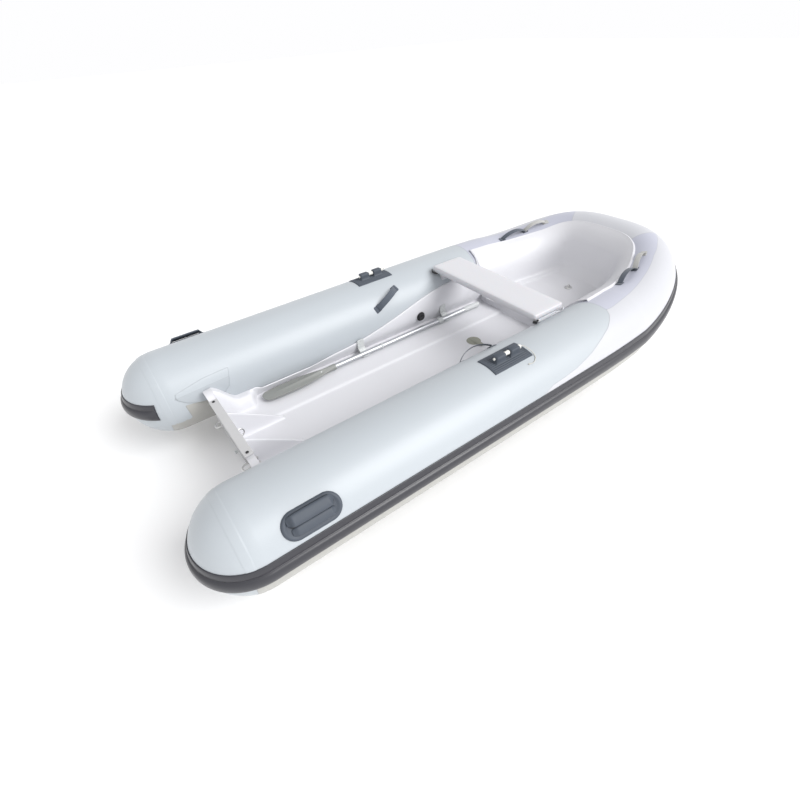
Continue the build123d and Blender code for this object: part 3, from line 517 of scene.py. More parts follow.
def tube_fabric():
    """Polyester cloth coated with PVC, calendered: satin, the weave just shows, panels glued over each other.

    The panels' signed distances come from the mesh, so each seam is sharp: the colour changes there, the
    upper panel stands a little proud, and a thin line of dirt and shade lies along it.
    """
    colours = bpy.context.scene.dinghy_colours
    material, tree, shader = start_material("coated_polyester_fabric", {
        "Roughness": 0.40, "IOR": 1.5, "Coat Weight": 0.12, "Coat Roughness": 0.35, "Sheen Weight": 0.05})
    coords = add_node(tree, "ShaderNodeTexCoord").outputs
    current, lines, steps = {}, [], []
    # Each panel: its own tint, half width of its edge, width of its seam's line, and how far it stands proud.
    for key, tint, edge, width, share in (
            ("under", colours.under, 0.0008, 0.0035, 1.0), ("bow", colours.bow, 0.0008, 0.0035, 1.0),
            ("band", colours.band, 0.0008, 0.0035, 1.0), ("patch", None, 0.0012, 0.003, 1.0),
            ("flap", None, 0.0012, 0.003, 1.4)):
        panel = add_node(tree, "ShaderNodeAttribute", {"attribute_name": f"panel_{key}"}).outputs["Fac"]
        inside = add_node(tree, "ShaderNodeMapRange", {"From Min": edge, "From Max": -edge, "To Max": share},
                          {"Value": panel}).outputs["Result"]
        near = add_node(tree, "ShaderNodeMath", {"operation": "ABSOLUTE"}, {0: panel}).outputs[0]
        line = add_node(tree, "ShaderNodeMapRange", {"From Max": width, "To Min": share, "To Max": 0.0},
                        {"Value": near}).outputs["Result"]
        steps.append(inside)
        lines.append(line)
        if tint is None:
            # The flap is painted a shade darker than the tube: painted shade, for the shade that lies on it below
            # its glued edge.
            lines.append(add_node(tree, "ShaderNodeMapRange",
                                  {"From Min": 1.1, "From Max": 1.4, "To Max": 0.55},
                                  {"Value": inside}).outputs["Result"])
        else:
            mixed = add_node(tree, "ShaderNodeMix",
                             {"data_type": "RGBA", 6: tuple(colours.tube), 7: tuple(tint)},
                             {0: inside, **current})
            current = {6: mixed.outputs[2]}
    seam_lines_and_flap_shade, height = lines[0], steps[0]
    for line in lines[1:]:
        seam_lines_and_flap_shade = add_node(tree, "ShaderNodeMath", {"operation": "MAXIMUM"}, {0: seam_lines_and_flap_shade, 1: line}).outputs[0]
    for step in steps[1:]:
        height = add_node(tree, "ShaderNodeMath", {"operation": "ADD"}, {0: height, 1: step}).outputs[0]
    cloud = add_node(tree, "ShaderNodeTexNoise", {"Scale": 2.2, "Detail": 3.0}, {"Vector": coords["Object"]})
    shade = add_node(tree, "ShaderNodeMapRange", {"To Min": 0.965, "To Max": 1.02},
                     {"Value": cloud.outputs["Fac"]})
    toned = add_node(tree, "ShaderNodeVectorMath", {"operation": "SCALE"},
                     {0: current[6], "Scale": shade.outputs["Result"]})
    # Darkens the colour along the seam lines and over the flap, which carries painted shade.
    dim = add_node(tree, "ShaderNodeMapRange", {"To Min": 1.0, "To Max": 0.86}, {"Value": seam_lines_and_flap_shade})
    lined = add_node(tree, "ShaderNodeVectorMath", {"operation": "SCALE"},
                     {0: toned.outputs[0], "Scale": dim.outputs["Result"]})
    tree.links.new(lined.outputs[0], shader.inputs["Base Color"])
    # The real yarns lie about 0.6 mm apart; they are drawn coarser so that they show at all.
    scale = BAND_SPACING / max(bpy.context.scene.dinghy_sizes.weave, 1e-4)
    threads = [add_node(tree, "ShaderNodeTexWave", {"bands_direction": way, "Scale": scale},
                        {"Vector": coords["UV"]}).outputs["Fac"] for way in ("X", "Y")]
    weave = add_node(tree, "ShaderNodeMath", {"operation": "MULTIPLY"}, {0: threads[0], 1: threads[1]})
    fine = add_node(tree, "ShaderNodeBump", {"Strength": 0.25, "Distance": 0.0002},
                    {"Height": weave.outputs[0]})
    wrinkle = add_node(tree, "ShaderNodeTexNoise", {"Scale": 9.0, "Detail": 2.0},
                       {"Vector": coords["Object"]})
    soft = add_node(tree, "ShaderNodeBump", {"Strength": 0.5, "Distance": 0.0015},
                    {"Height": wrinkle.outputs["Fac"], "Normal": fine.outputs["Normal"]})
    lap = add_node(tree, "ShaderNodeBump", {"Strength": 1.0, "Distance": 0.0012},
                   {"Height": height, "Normal": soft.outputs["Normal"]})
    tree.links.new(lap.outputs["Normal"], shader.inputs["Normal"])
    return material


def webbing(name, tint):
    """Woven polyester webbing: a twill of ribs across and threads along, matt. Ribs are drawn at 2.5 mm."""
    material, tree, shader = start_material(name, {"Roughness": 0.75, "Sheen Weight": 0.25, "IOR": 1.5})
    coords = add_node(tree, "ShaderNodeTexCoord").outputs["UV"]
    ribs = add_node(tree, "ShaderNodeTexWave", {"bands_direction": "X", "Scale": BAND_SPACING / 0.0025},
                    {"Vector": coords}).outputs["Fac"]
    threads = add_node(tree, "ShaderNodeTexWave", {"bands_direction": "Y", "Scale": BAND_SPACING / 0.002,
                                                  "Distortion": 1.5}, {"Vector": coords}).outputs["Fac"]
    twill = add_node(tree, "ShaderNodeMath", {"operation": "MULTIPLY"}, {0: ribs, 1: threads}).outputs[0]
    mixed = add_node(tree, "ShaderNodeMix", {"data_type": "RGBA", 6: darker(tint, 0.72), 7: tuple(tint)},
                     {0: twill})
    bump = add_node(tree, "ShaderNodeBump", {"Strength": 0.8, "Distance": 0.0004}, {"Height": twill})
    tree.links.new(mixed.outputs[2], shader.inputs["Base Color"])
    tree.links.new(bump.outputs["Normal"], shader.inputs["Normal"])
    return material


def drawn_metal(name, code, roughness, stretch, height_mm):
    """Metal with fine lines along the boat, left by drawing or polishing."""
    material, tree, shader = start_material(name, {"Metallic": 1.0, "Roughness": roughness})
    coords = add_node(tree, "ShaderNodeTexCoord").outputs["Object"]
    turned = add_node(tree, "ShaderNodeMapping", {"Scale": stretch}, {"Vector": coords}).outputs["Vector"]
    lines = add_node(tree, "ShaderNodeTexNoise", {"Scale": 900.0, "Detail": 3.0},
                     {"Vector": turned}).outputs["Fac"]
    tint = linear(code)
    mixed = add_node(tree, "ShaderNodeMix", {"data_type": "RGBA", 6: darker(tint, 0.85), 7: tint}, {0: lines})
    tree.links.new(mixed.outputs[2], shader.inputs["Base Color"])
    spread = add_node(tree, "ShaderNodeMapRange", {"To Min": roughness * 0.7, "To Max": roughness * 1.4},
                      {"Value": lines})
    tree.links.new(spread.outputs["Result"], shader.inputs["Roughness"])
    bump = add_node(tree, "ShaderNodeBump", {"Strength": 0.6, "Distance": height_mm / 1000},
                    {"Height": lines})
    tree.links.new(bump.outputs["Normal"], shader.inputs["Normal"])
    return material


def build_materials():
    """Every material of the boat, by a maker's name."""
    c = bpy.context.scene.dinghy_colours
    return {
        "fabric": tube_fabric(),
        # Extruded soft PVC: a satin skin with faint flow lines.
        "strake": simple_material("extruded_soft_pvc", c.strake,
                                  {"Roughness": 0.34, "IOR": 1.5, "Coat Weight": 0.15,
                                   "Coat Roughness": 0.25},
                                  6, 0.05, 90, 0.10, (0.3, 0.4)),
        # Polyester gelcoat off a polished mould: satin, with the faint waviness of the glass under it.
        "gelcoat": simple_material("gelcoat_on_glass_fibre", c.gelcoat,
                                   {"Roughness": 0.42, "IOR": 1.5, "Coat Weight": 0.12,
                                    "Coat Roughness": 0.25},
                                   160, 0.02, 400, 0.02),
        # Rotomoulded polyethylene: white, softly glossy, fine orange peel.
        "seat": simple_material("rotomoulded_polyethylene", c.seat,
                                {"Roughness": 0.38, "IOR": 1.51, "Subsurface Weight": 0.04}, 5, 0.06, 180,
                                0.03, (0.32, 0.46)),
        # Injection-moulded PVC: matt with a leather grain.
        "slate": simple_material("moulded_grained_pvc", c.slate, {"Roughness": 0.55, "IOR": 1.5},
                                 2.5, 0.12, 30, 0.12, (0.46, 0.64)),
        "webbing": webbing("polyester_webbing", c.webbing),
        "pale_webbing": webbing("pale_polyester_webbing", c.pale_webbing),
        # Extruded ABS with a fine sanded texture.
        "cap": simple_material("textured_abs", c.cap, {"Roughness": 0.55, "IOR": 1.53},
                               1.5, 0.08, 50, 0.06, (0.48, 0.62)),
        "clip": simple_material("moulded_acetal", c.clip, {"Roughness": 0.42, "IOR": 1.48},
                                3, 0.04, 40, 0.05, (0.36, 0.5)),
        "blade": simple_material("filled_polypropylene", c.blade, {"Roughness": 0.5, "IOR": 1.49},
                                 4, 0.08, 70, 0.08, (0.42, 0.58)),
        "dark": simple_material("black_nylon", c.dark, {"Roughness": 0.48, "IOR": 1.53},
                                1.6, 0.06, 25, 0.15, (0.4, 0.56)),
        "nylon": simple_material("white_nylon", linear("#E6E5E0"), {"Roughness": 0.4, "IOR": 1.53},
                                 2, 0.04, 20, 0.05),
        "patch": simple_material("welded_pvc_patch", c.patch, {"Roughness": 0.55, "IOR": 1.5},
                                 2, 0.12, 20, 0.12),
        # Braided polyester cord: plaits about 3 mm long catch the light in turn.
        "cord": simple_material("braided_cord", linear("#DAD8CF"), {"Roughness": 0.8, "Sheen Weight": 0.2},
                                1.2, 0.5, 3, 0.3),
        "plywood": simple_material("marine_plywood", linear("#B08D5E"), {"Roughness": 0.6, "IOR": 1.5},
                                   4, 0.2, 35, 0.3),
        # Passivated stainless steel rod, drawn and polished.
        "steel": drawn_metal("polished_stainless_steel", "#E2E2E0", 0.28, (1.0, 1.0, 1.0), 0.01),
        # Anodised drawn tube: the fine lines run along it.
        "aluminium": drawn_metal("anodised_aluminium", "#C9CBCE", 0.42, (0.02, 1.0, 1.0), 0.003),
    }


# ---- air tubes ----------------------------------------------------------------------------------
METRES_PER_DEGREE = 0.00354   # round a side tube
LOW_AROUND, HIGH_AROUND = -160, 200
# Seams as loops of (distance along the tube in metres, degrees round it).
BAND_EDGE = [(0.598, 75), (0.805, 79), (1.036, 84), (1.266, 87), (1.38, 81), (1.469, 69)]
TONGUE = [(-0.08, 15), (0.013, 24), (0.09, 25), (0.181, 27.5), (0.30, 35), (0.403, 45.5), (0.47, 53),
          (0.509, 60),
          (0.54, 68), (0.553, 76)]
PANELS = {
    "bow": [TONGUE + BAND_EDGE + [(1.474, 133), (1.474, 210), (1.9, 210), (1.9, -7), (-0.08, -7)]],
    "band": [[(0.556, 210), (0.556, 110), (0.553, 76)] + BAND_EDGE + [(1.474, 133), (1.474, 210)]],
    "under": [[(-1.415, -6), (1.9, -6), (1.9, -170), (-1.415, -170)],
              [(-1.325, 175), (-1.27, 177), (-1.20, 181), (-1.12, 184), (-1.12, 210), (-1.31, 210)]],
    "patch": [[(-1.084, 147.6), (-1.207, 149), (-1.345, 156), (-1.352, 162), (-1.095, 159.3)]],
    "flap": [[(-1.095, 159.3), (-1.355, 162), (-1.31, 172.7), (-1.25, 180.3), (-1.15, 181), (-1.11, 172)]],
}


def tube_values(along, around):
    """Signed distance to each panel's edge at every grid point, for the fabric's material."""
    spots = np.stack(np.broadcast_arrays(along[:, None], around[None] * METRES_PER_DEGREE), -1).astype(float)
    scale = np.array([1, METRES_PER_DEGREE])
    return {f"panel_{key}": np.minimum.reduce([distance_to(np.array(loop) * scale, spots) for loop in loops])
            for key, loops in PANELS.items()}


def tube_uv(along, around, radius):
    return np.stack(np.broadcast_arrays(along[:, None], np.radians(around)[None] * radius[:, None]), -1)


class DINGHY_OT_tubes(bpy.types.Operator):
    """Side tubes, bow tubes and domed sterns in coated fabric"""
    bl_idname = "dinghy.tubes"
    bl_label = "Air tubes"

    def execute(self, context):
        around = np.linspace(LOW_AROUND, HIGH_AROUND, 181)
        xs = np.linspace(STERN_CENTRE, SIDE_END, 261)
        frames = side_frames(xs)
        side = surface("side_tube_fabric", on_tube(frames, around, self.side_relief(xs, around)),
                       uv=tube_uv(xs, around, frames[3]), values=tube_values(xs, around), flip=True)
        settle_pair(weld(side), "fabric", "boat", ["side_tube_{}"], "side_tube_fabric_{}")

        stations = np.linspace(90, 0, 221)
        frames = bow_frames(stations)
        along = SIDE_END + path_length(frames[0])
        bow = surface("bow_tube_fabric", on_tube(frames, around), uv=tube_uv(along, around, frames[3]),
                      values=tube_values(along, around), flip=True)
        settle_pair(weld(bow), "fabric", "boat", ["bow_tube_{}"], "bow_tube_fabric_{}")

        # The dome is a hemisphere: a ring at latitude t has radius R cos t and lies R sin t aft.
        latitude = np.radians(np.linspace(90, 0, 131))
        tape = context.scene.dinghy_sizes.tape * (
            smooth((np.degrees(latitude) - 11.8) / 0.8) - smooth((np.degrees(latitude) - 21) / 0.8))
        reach = TUBE_RADIUS + tape
        turn = np.radians(around)
        points = np.stack([
            np.broadcast_to((STERN_CENTRE - reach * np.sin(latitude))[:, None], (len(latitude), len(turn))),
            HALF_SPACING + (reach * np.cos(latitude))[:, None] * np.cos(turn),
            TUBE_HEIGHT + (reach * np.cos(latitude))[:, None] * np.sin(turn)], -1)
        along = STERN_CENTRE - TUBE_RADIUS * latitude
        dome = surface("stern_dome_fabric", points, uv=tube_uv(along, around, reach),
                       values=tube_values(along, around), flip=True)
        settle_pair(weld(dome), "fabric", "boat", ["stern_cone_{}"], "stern_dome_fabric_{}")
        return {"FINISHED"}

    @staticmethod
    def side_relief(xs, around):
        """The glued flap and patch by the transom stand a little proud."""
        values = tube_values(xs, around)
        return sum(0.0016 * smooth(0.5 - values[f"panel_{key}"] / 0.006) for key in ("patch", "flap"))


class DINGHY_OT_strakes(bpy.types.Operator):
    """Rubbing strakes: a flat band over a raised bead, wrapped round each dome"""
    bl_idname = "dinghy.strakes"
    bl_label = "Rubbing strakes"

    def execute(self, context):
        # Section as (proud in mm, degrees round the tube), from the top edge over the band and bead and back.
        outline = np.array([
            (0.0, 18), (2.6, 18), (3.8, 17.3), (4.2, 15.5), (4.2, 12.8), (4.1, 10.9), (2.8, 10.3), (2.8, 9.9),
            (5.0, 9.5), (9.0, 8.6), (12.2, 7.0), (13.8, 4.8), (14.2, 2.4), (13.8, 0.2), (12.4, -1.7),
            (9.5, -3.1),
            (6.0, -3.8), (4.2, -4.3), (3.8, -5.4), (2.4, -5.9), (0.0, -6.0)])
        proud, around = outline[:, 0] / 1000, outline[:, 1]
        turn = np.radians(np.linspace(151, 1, 90))
        flat = np.zeros_like(turn)
        dome = (np.stack([flat + STERN_CENTRE, flat + HALF_SPACING, flat + TUBE_HEIGHT], -1),
                np.stack([-np.sin(turn), np.cos(turn), flat], -1), np.stack([flat, flat, flat + 1], -1),
                flat + TUBE_RADIUS)
        parts = [dome, side_frames(np.linspace(STERN_CENTRE, SIDE_END, 120)[:-1]),
                 bow_frames(np.linspace(90, 0, 181))]
        frames = tuple(np.concatenate([part[k] for part in parts]) for k in range(4))
        points = on_tube(frames, around, proud)
        # The aft end is cut square and its bead runs out over 40 mm.
        fade = smooth(path_length(frames[0] + frames[1] * frames[3][:, None]) / 0.04)[:, None]
        low = on_tube(frames, around, np.minimum(proud, 0.0042))
        points = low + (points - low) * fade[..., None]
        middle = points[:1].mean(1, keepdims=True)
        points = np.concatenate([np.repeat(middle, points.shape[1], 1), points])
        made = surface("rub_strake", points, (False, True))
        settle_pair(weld(made, 1e-6, outward=True), "strake", "boat",
                    ["rub_strake_{}"], "rubbing_strake_{}")
        return {"FINISHED"}


# ---- mouldings ----------------------------------------------------------------------------------
def tube_y(x):
    """Y of the port tube's centre line over X."""
    share = np.clip((x - SIDE_END) / (BOW_CENTRE - SIDE_END), 0, 0.9999)
    return HALF_SPACING * (1 - share**FULLNESS) ** (1 / FULLNESS)


def clear_y(x, z, proud):
    """Inner breadth beside the level tubes, that far off their surface."""
    reach = (TUBE_RADIUS + proud) ** 2 - (z - TUBE_HEIGHT) ** 2
    return tube_y(x) - np.sqrt(np.maximum(reach, 0))


def both_sides(half):
    """Sections [n, k, (y, z)] from the centre plane outwards, completed to starboard."""
    return np.concatenate([half[:, :0:-1] * [-1, 1], half], 1)


def raked(xs, section):
    """Sections (y, z) at xs as points, leaning aft with the transom over the last 120 mm."""
    lean = np.clip(1 - (xs - TRANSOM_FOOT) / 0.12, 0, 1)[:, None] * math.tan(RAKE)
    return np.concatenate([(xs[:, None] - lean * section[..., 1])[..., None], section], -1)


class DINGHY_OT_deck(bpy.types.Operator):
    """Deck moulding: cockpit with side decks and oar lockers, and the raised bow"""
    bl_idname = "dinghy.deck"
    bl_label = "Deck moulding"

    def execute(self, context):
        for made in (self.cockpit(), self.bow()):
            thicken(made)
            settle(made, "gelcoat", "boat", ["deck_liner"])
        return {"FINISHED"}

    @staticmethod
    def cockpit():
        """Each section runs from the floor up the ledge, over the side deck and up to a rolled lip."""
        xs = np.concatenate([np.linspace(-1.15, -0.9, 60), np.linspace(-0.9, 0.54, 110)[1:],
                             np.linspace(0.54, BOW_STEP + 0.004, 24)[1:]])
        lift = smooth((xs - BOW_STEP + 0.010) / 0.010) * (BOW_FLOOR - FLOOR)
        low, deck = FLOOR + lift, SIDE_DECK + lift
        edge = 192 + (150 - 192) * smooth((xs + 0.55) / 0.91)
        edge = edge + (118 - edge) * np.clip((xs - 0.544) / 0.032, 0, 1)
        pocket = smooth((xs + 1.0) / 0.05) * smooth((-0.50 - xs) / 0.22)
        shelf = 1 - smooth((xs + 1.045) / 0.055)
        top = TUBE_HEIGHT + TUBE_RADIUS * np.sin(np.radians(edge)) - 0.024 * pocket
        block = 0.262 + 0.098 * (1 - smooth((xs + 1.150) / 0.075))
        half = [np.stack([0 * xs, low], 1), np.stack([0 * xs + FLOOR_HALF * 0.6, low + 0.0006], 1),
                np.stack([0 * xs + FLOOR_HALF, low], 1), np.stack([0 * xs + FLOOR_HALF + 0.012, deck], 1)]
        steps = 6
        for k in range(steps + 1):
            share = k / steps
            z = deck + (top - deck) * share
            y = clear_y(xs, z, 0.010) + 0.004 * pocket
            shelf_z = deck + (block - deck) * min(1, share * 2.4) ** 0.8
            shelf_y = clear_y(xs, z, 0.010) - 0.092 * (1 - share) ** 1.3
            half.append(np.stack([y + (shelf_y - y) * shelf, z + (shelf_z - z) * shelf], 1))
        lip_y, lip_z = half[-1][:, 0], half[-1][:, 1]
        half.append(np.stack([lip_y + 0.005, lip_z + 0.0035 * (1 - shelf)], 1))
        half.append(np.stack([clear_y(xs, lip_z, -0.002) + 0.004 * pocket - 0.014 * pocket, lip_z - 0.001],
                             1))
        half = np.stack(half, 1)
        radii = [0.01, 0.010, 0.010, 0.034, 0.02, 0.02, 0.02, 0.02, 0.02, 0.004, 0.004,
                 0.002][:half.shape[1] - 2]
        section = both_sides(eased(half, radii, 6))
        return surface("cockpit_moulding", raked(xs, section))

    @staticmethod
    def bow():
        """A wall carried round the bow inside the tube, then the floor drawn in to the centre plane."""
        stations = np.linspace(69.6, -69.6, 261)
        frames = bow_frames(stations)
        lip = np.interp(np.abs(stations), [0, 25, 41, 52, 60, 70], [130, 131, 127, 118, 114, 113])
        share = np.linspace(0, 1, 8)[None]
        around = lip[:, None] + (180 - lip)[:, None] * share
        wall = on_tube(frames, around, 0.010)
        roll = on_tube(frames, np.stack([lip - 5, lip - 2.2], 1), np.array([-0.002, 0.0125]))
        foot = wall[:, -1:].copy()
        foot[..., 2] = floor_at(foot[..., 0]) + 0.010
        front = smooth((45 - np.abs(stations)) / 25)[:, None]
        inward = -frames[1][:, None] * [1, 1, 0]
        foot += inward * (0.030 * front)[..., None]
        ledge = foot + inward * 0.042
        drop = foot + inward * 0.050
        for each, z in ((ledge, 0.010), (drop, 0.004)):
            each[..., 2] = floor_at(each[..., 0]) + z
        control = np.concatenate([roll, wall, foot, ledge, drop], 1)
        radii = [0.004, 0.006] + [0.03] * 6 + [0.05, 0.032, 0.006]
        rim = eased(control, radii, 6)
        spine = np.stack([np.clip(drop[:, 0, 0], BOW_STEP + 0.002, 1.0), 0 * stations, 0 * stations], 1)
        t = np.linspace(0, 1, 15)[1:, None]
        floor = drop + (spine[:, None] - drop) * t
        floor[..., 2] = floor_at(floor[..., 0]) + 0.004 + 0.002 * smooth(t[:, 0])
        points = np.concatenate([rim, floor], 1)
        return weld(surface("bow_moulding", points, flip=True), 1e-5)


def underside(x, y):
    """Height of the tube's lower surface at places in plan: the lowest of the balls along its line."""
    centres = bow_axis(np.linspace(90, 0, 91))
    radius = radius_at(centres[:, 0])
    left = radius**2 - (x[..., None] - centres[:, 0]) ** 2 - (y[..., None] - centres[:, 1]) ** 2
    ball = np.where(left > 0, centres[:, 2] - np.sqrt(np.maximum(left, 0)), 9.0).min(-1)
    level = TUBE_HEIGHT - np.sqrt(np.maximum(TUBE_RADIUS**2 - (y - HALF_SPACING) ** 2, 0))
    return np.where(x <= SIDE_END, level, ball)


def hull_lines(x):
    """Keel half width, keel height, chine and edge (y, z) of the hull's outer surface."""
    share = np.clip((x - SIDE_END) / (HULL_TIP - SIDE_END), 0, 1)
    edge = HULL_HALF_BEAM * (1 - share**3) ** (1 / 3)
    run = np.maximum(x - KEEL_RISE_START, 0) / (HULL_END - KEEL_RISE_START)
    keel = 0.0033 + 0.258 * run**2
    edge_z = underside(x, edge) - np.where(x <= SIDE_END, 0.0003, 0.004)
    keel_half = KEEL_HALF - 0.035 * smooth(run)
    return keel_half, keel, (0.96 * edge, keel + 0.75 * (edge_z - keel)), (edge, edge_z)


class DINGHY_OT_hull(bpy.types.Operator):
    """Hull moulding with keel flat, spray rails and chines, and its keel band"""
    bl_idname = "dinghy.hull"
    bl_label = "Hull"

    def execute(self, context):
        # Sections from the keel to the edge; past the last station an ellipse closes the stem.
        xs = np.concatenate([np.linspace(-1.15, 0.3, 60), np.linspace(0.3, HULL_END, 80)[1:]])
        keel_half, keel, chine, edge = hull_lines(xs)
        def at(share, drop=0.0):
            return np.stack([keel_half + share * (chine[0] - keel_half),
                             keel + share * (chine[1] - keel) - drop], 1)
        half = np.stack([np.stack([0 * xs, keel], 1), np.stack([keel_half, keel], 1), at(0.30),
                         at(0.335, 0.005),
                         at(0.365, 0.005), at(0.37), at(0.62), at(0.655, 0.005), at(0.685, 0.005), at(0.69),
                         at(0.985), np.stack(chine, 1), np.stack(edge, 1)], 1)
        radii = [0.010, 0.004, 0.004, 0.004, 0.004, 0.01, 0.004, 0.004, 0.004, 0.004, 0.02]
        section = both_sides(eased(half, radii, 4))
        points = raked(xs, section)
        middle = np.array([HULL_END, 0, section[-1, :, 1].mean()])
        t = np.sin(np.linspace(0, math.pi / 2, 12))[1:, None, None]
        nose = middle + (points[-1:] - middle) * np.sqrt(1 - t**2) + [0.045, 0, 0.004] * t
        hull = surface("hull_moulding", np.concatenate([points, nose]), flip=True)
        settle(weld(hull), "gelcoat", "boat", ["hull_shell"])
        thicken(hull)

        length, width = 1.560, 0.096
        band = outline_plate("keel_band_aluminium", rounded(length, width, width / 2 - 0.001, 12), 0.003,
                             placer((-0.350, 0, 0), (1, 0, 0), (0, 1, 0), (0, 0, 1)), 0.0012)
        settle(band, "aluminium", "boat", ["keel_band"])
        paint("hull_stringers", "plywood")
        paint("bow_baffle", "fabric")
        return {"FINISHED"}


class DINGHY_OT_transom(bpy.types.Operator):
    """Transom with its shoulders, knees, cap, screws, motor pad and drain"""
    bl_idname = "dinghy.transom"
    bl_label = "Transom"

    def execute(self, context):
        _, keel, chine, edge = (np.squeeze(v) for v in hull_lines(np.array([-1.1])))
        heights = np.linspace(float(edge[1]) + 0.001, 0.345, 14)
        cheek = np.stack([clear_y(-1.1, heights, 0.0003), heights], 1)
        half = np.concatenate([[(KEEL_HALF, keel), chine, edge], cheek,
                               [(0.304, 0.368), (0.282, 0.376), (0.252, 0.374), (0.236, 0.366),
                                (0.2265, 0.3535),
                                (0.2165, 0.3520)]])
        outline = np.concatenate([half, half[::-1] * [-1, 1]])
        board = outline_plate("transom_moulding", outline, TRANSOM_THICK,
                              lambda a, b, c: on_transom(a, b, -c), 0.004, 4)
        settle(board, "gelcoat", "boat", ["transom_board"])

        origin, port, up, ahead = transom_frame()
        cap_low = TRANSOM_TOP / math.cos(RAKE) + CLEARANCE
        strip = rounded(0.430, 0.040, 0.004)
        cap = outline_plate("transom_cap_strip", strip, 0.012,
                            placer(origin + up * cap_low - ahead * 0.017, port, ahead, up), 0.0025)
        settle(cap, "cap", "boat", ["transom_cap"])

        head = [(0, 0.0034), (0.0022, 0.0034), (0.0024, 0.0024), (0.0034, 0.0024), (0.0036, 0.0034),
                (0.0050, 0.0031), (0.0066, 0.0018), (0.0070, 0.0), (0, 0)]
        screws = [lathe("screw", head, origin + up * (cap_low + 0.012) - ahead * 0.017 + port * side * 0.199,
                        up, 24)
                  for side in (1, -1)]
        pad_middle = (0.335 - 0.049) / math.cos(RAKE)
        screws += [lathe("screw", [(0, -0.002), (0.0015, -0.0005), (0.0058, -0.0005), (0.0058, -0.007),
                                   (0, -0.007)],
                         origin + up * (pad_middle + b) - ahead * 0.0423 + port * a, -ahead, 20)
                   for a in (0.112, -0.112) for b in (0.031, -0.031)]
        settle(join("transom_screw_heads", screws), "dark", "boat", ["transom_screws"])

        pad = outline_plate("motor_clamp_pad", rounded(0.260, 0.098, 0.010), 0.008,
                            placer(origin + up * pad_middle - ahead * 0.0343, port, up, -ahead), 0.0018)
        settle(pad, "cap", "boat", ["motor_pad"])

        drain = 0.214 / math.cos(RAKE)
        socket = lathe("drain_fitting", [(0.0122, -0.038), (0.0150, -0.038), (0.0150, 0.0), (0.0220, 0.0002),
                                         (0.0220, 0.0018), (0.0205, 0.0032), (0.0135, 0.0032),
                                         (0.0122, 0.002),
                                         (0.0122, -0.038)], origin + up * drain + ahead * CLEARANCE, ahead)
        settle(socket, "nylon", "boat", ["drain_socket"])
        bung = lathe("drain_bung", [(0, 0.002), (0.0100, 0.002), (0.0116, 0.000), (0.0119, -0.036),
                                    (0.0158, -0.0362),
                                    (0.0160, -0.042), (0.0060, -0.0432), (0.0052, -0.050), (0.0085, -0.054),
                                    (0.0085, -0.057), (0, -0.058)], origin + up * drain, ahead, 36)
        settle(bung, "clip", "drain_plug_body", ["drain_plug"])
        self.knees()
        return {"FINISHED"}

    @staticmethod
    def knees():
        """A web whose half thickness grows from 6 mm to 20 mm at its foot, exp(-height / 9 mm)."""
        u = np.linspace(0, 1, 40)[:, None]
        v = np.linspace(-1, 1, 41)[None]
        foot = SIDE_DECK - 0.010
        top = foot + (0.344 - foot) * (1 - np.clip((u - 0.03) / 0.97, 0, 1)) + 0.002
        side = np.clip(np.abs(v) * 1.06 - 0.06, 0, 1) ** 1.25
        z = top + (foot - top) * side
        flare = 0.014 * np.exp(-(z - foot) / 0.009)
        half = (0.006 + flare) * np.sign(v) * np.minimum(1, np.abs(v) / 0.11) ** 0.7
        x = TRANSOM_FOOT + 0.0005 - math.tan(RAKE) * z * (1 - u) + 0.196 * u
        points = np.stack(np.broadcast_arrays(x, 0.105 + half, z), -1)
        web = surface("transom_web", points, flip=True)
        settle_pair(weld(web, 1e-5), "gelcoat", "boat", ["transom_knee_{}"], "transom_web_{}")


class DINGHY_OT_seat(bpy.types.Operator):
    """Lift-off seat with a lipped edge, on its two wedge brackets"""
    bl_idname = "dinghy.seat"
    bl_label = "Seat"

    def execute(self, context):
        x, width, length, under = 0.331, 0.209, 0.780, 0.477
        # Stack of rounded outlines as (inset, height above the underside, corner), from underside to top.
        rows = [(0.0120, 0.0000, 0.010), (0.0085, 0.0006, 0.010), (0.0070, 0.0030, 0.010),
                (0.0060, 0.0120, 0.010),
                (0.0050, 0.0135, 0.010), (0.0008, 0.0145, 0.012), (0.0000, 0.0170, 0.012),
                (0.0000, 0.0300, 0.012),
                (0.0008, 0.0335, 0.012), (0.0030, 0.0362, 0.012), (0.0070, 0.0376, 0.012),
                (0.0300, 0.0380, 0.012)]
        board = stacked("seat_moulding", [(width - 2 * i, length - 2 * i, c, h) for i, h, c in rows],
                        placer((x, 0, under), (1, 0, 0), (0, 1, 0), (0, 0, 1)))
        settle(board, "seat", "seat", ["seat_board"])

        under -= CLEARANCE
        ys = np.linspace(0.384, 0.350, 8)
        bottom = TUBE_HEIGHT + np.sqrt((TUBE_RADIUS + 0.0005) ** 2 - (HALF_SPACING - ys) ** 2)
        outline = np.concatenate([[(0.350, under), (0.384, under)], np.stack([ys, bottom], 1)])
        wedge = outline_plate("seat_wedge", outline, 0.130,
                              placer((x - 0.065, 0, 0), (0, 1, 0), (0, 0, 1), (1, 0, 0)), 0.0022)
        hooks = []
        for way in (1, -1):
            line = np.array([[0.06, 0.372, -0.004], [0.085, 0.378, -0.010], [0.102, 0.392, -0.004],
                             [0.106, 0.396, 0.012]]) * [way, 1, 1] + [x, 0, under]
            hooks.append(swept("hook", eased(line, [0.012, 0.010], 6), rounded(0.022, 0.005, 0.002),
                               (0, 0, 1)))
        settle_pair(join("seat_wedge", [apply_modifiers(wedge), hooks[0]]), "seat", "seat",
                    ["seat_bracket_{}"], "seat_wedge_{}")
        settle_pair(hooks[1], "dark", "seat", ["seat_bracket_{}"], "seat_wedge_hook_{}")
        return {"FINISHED"}


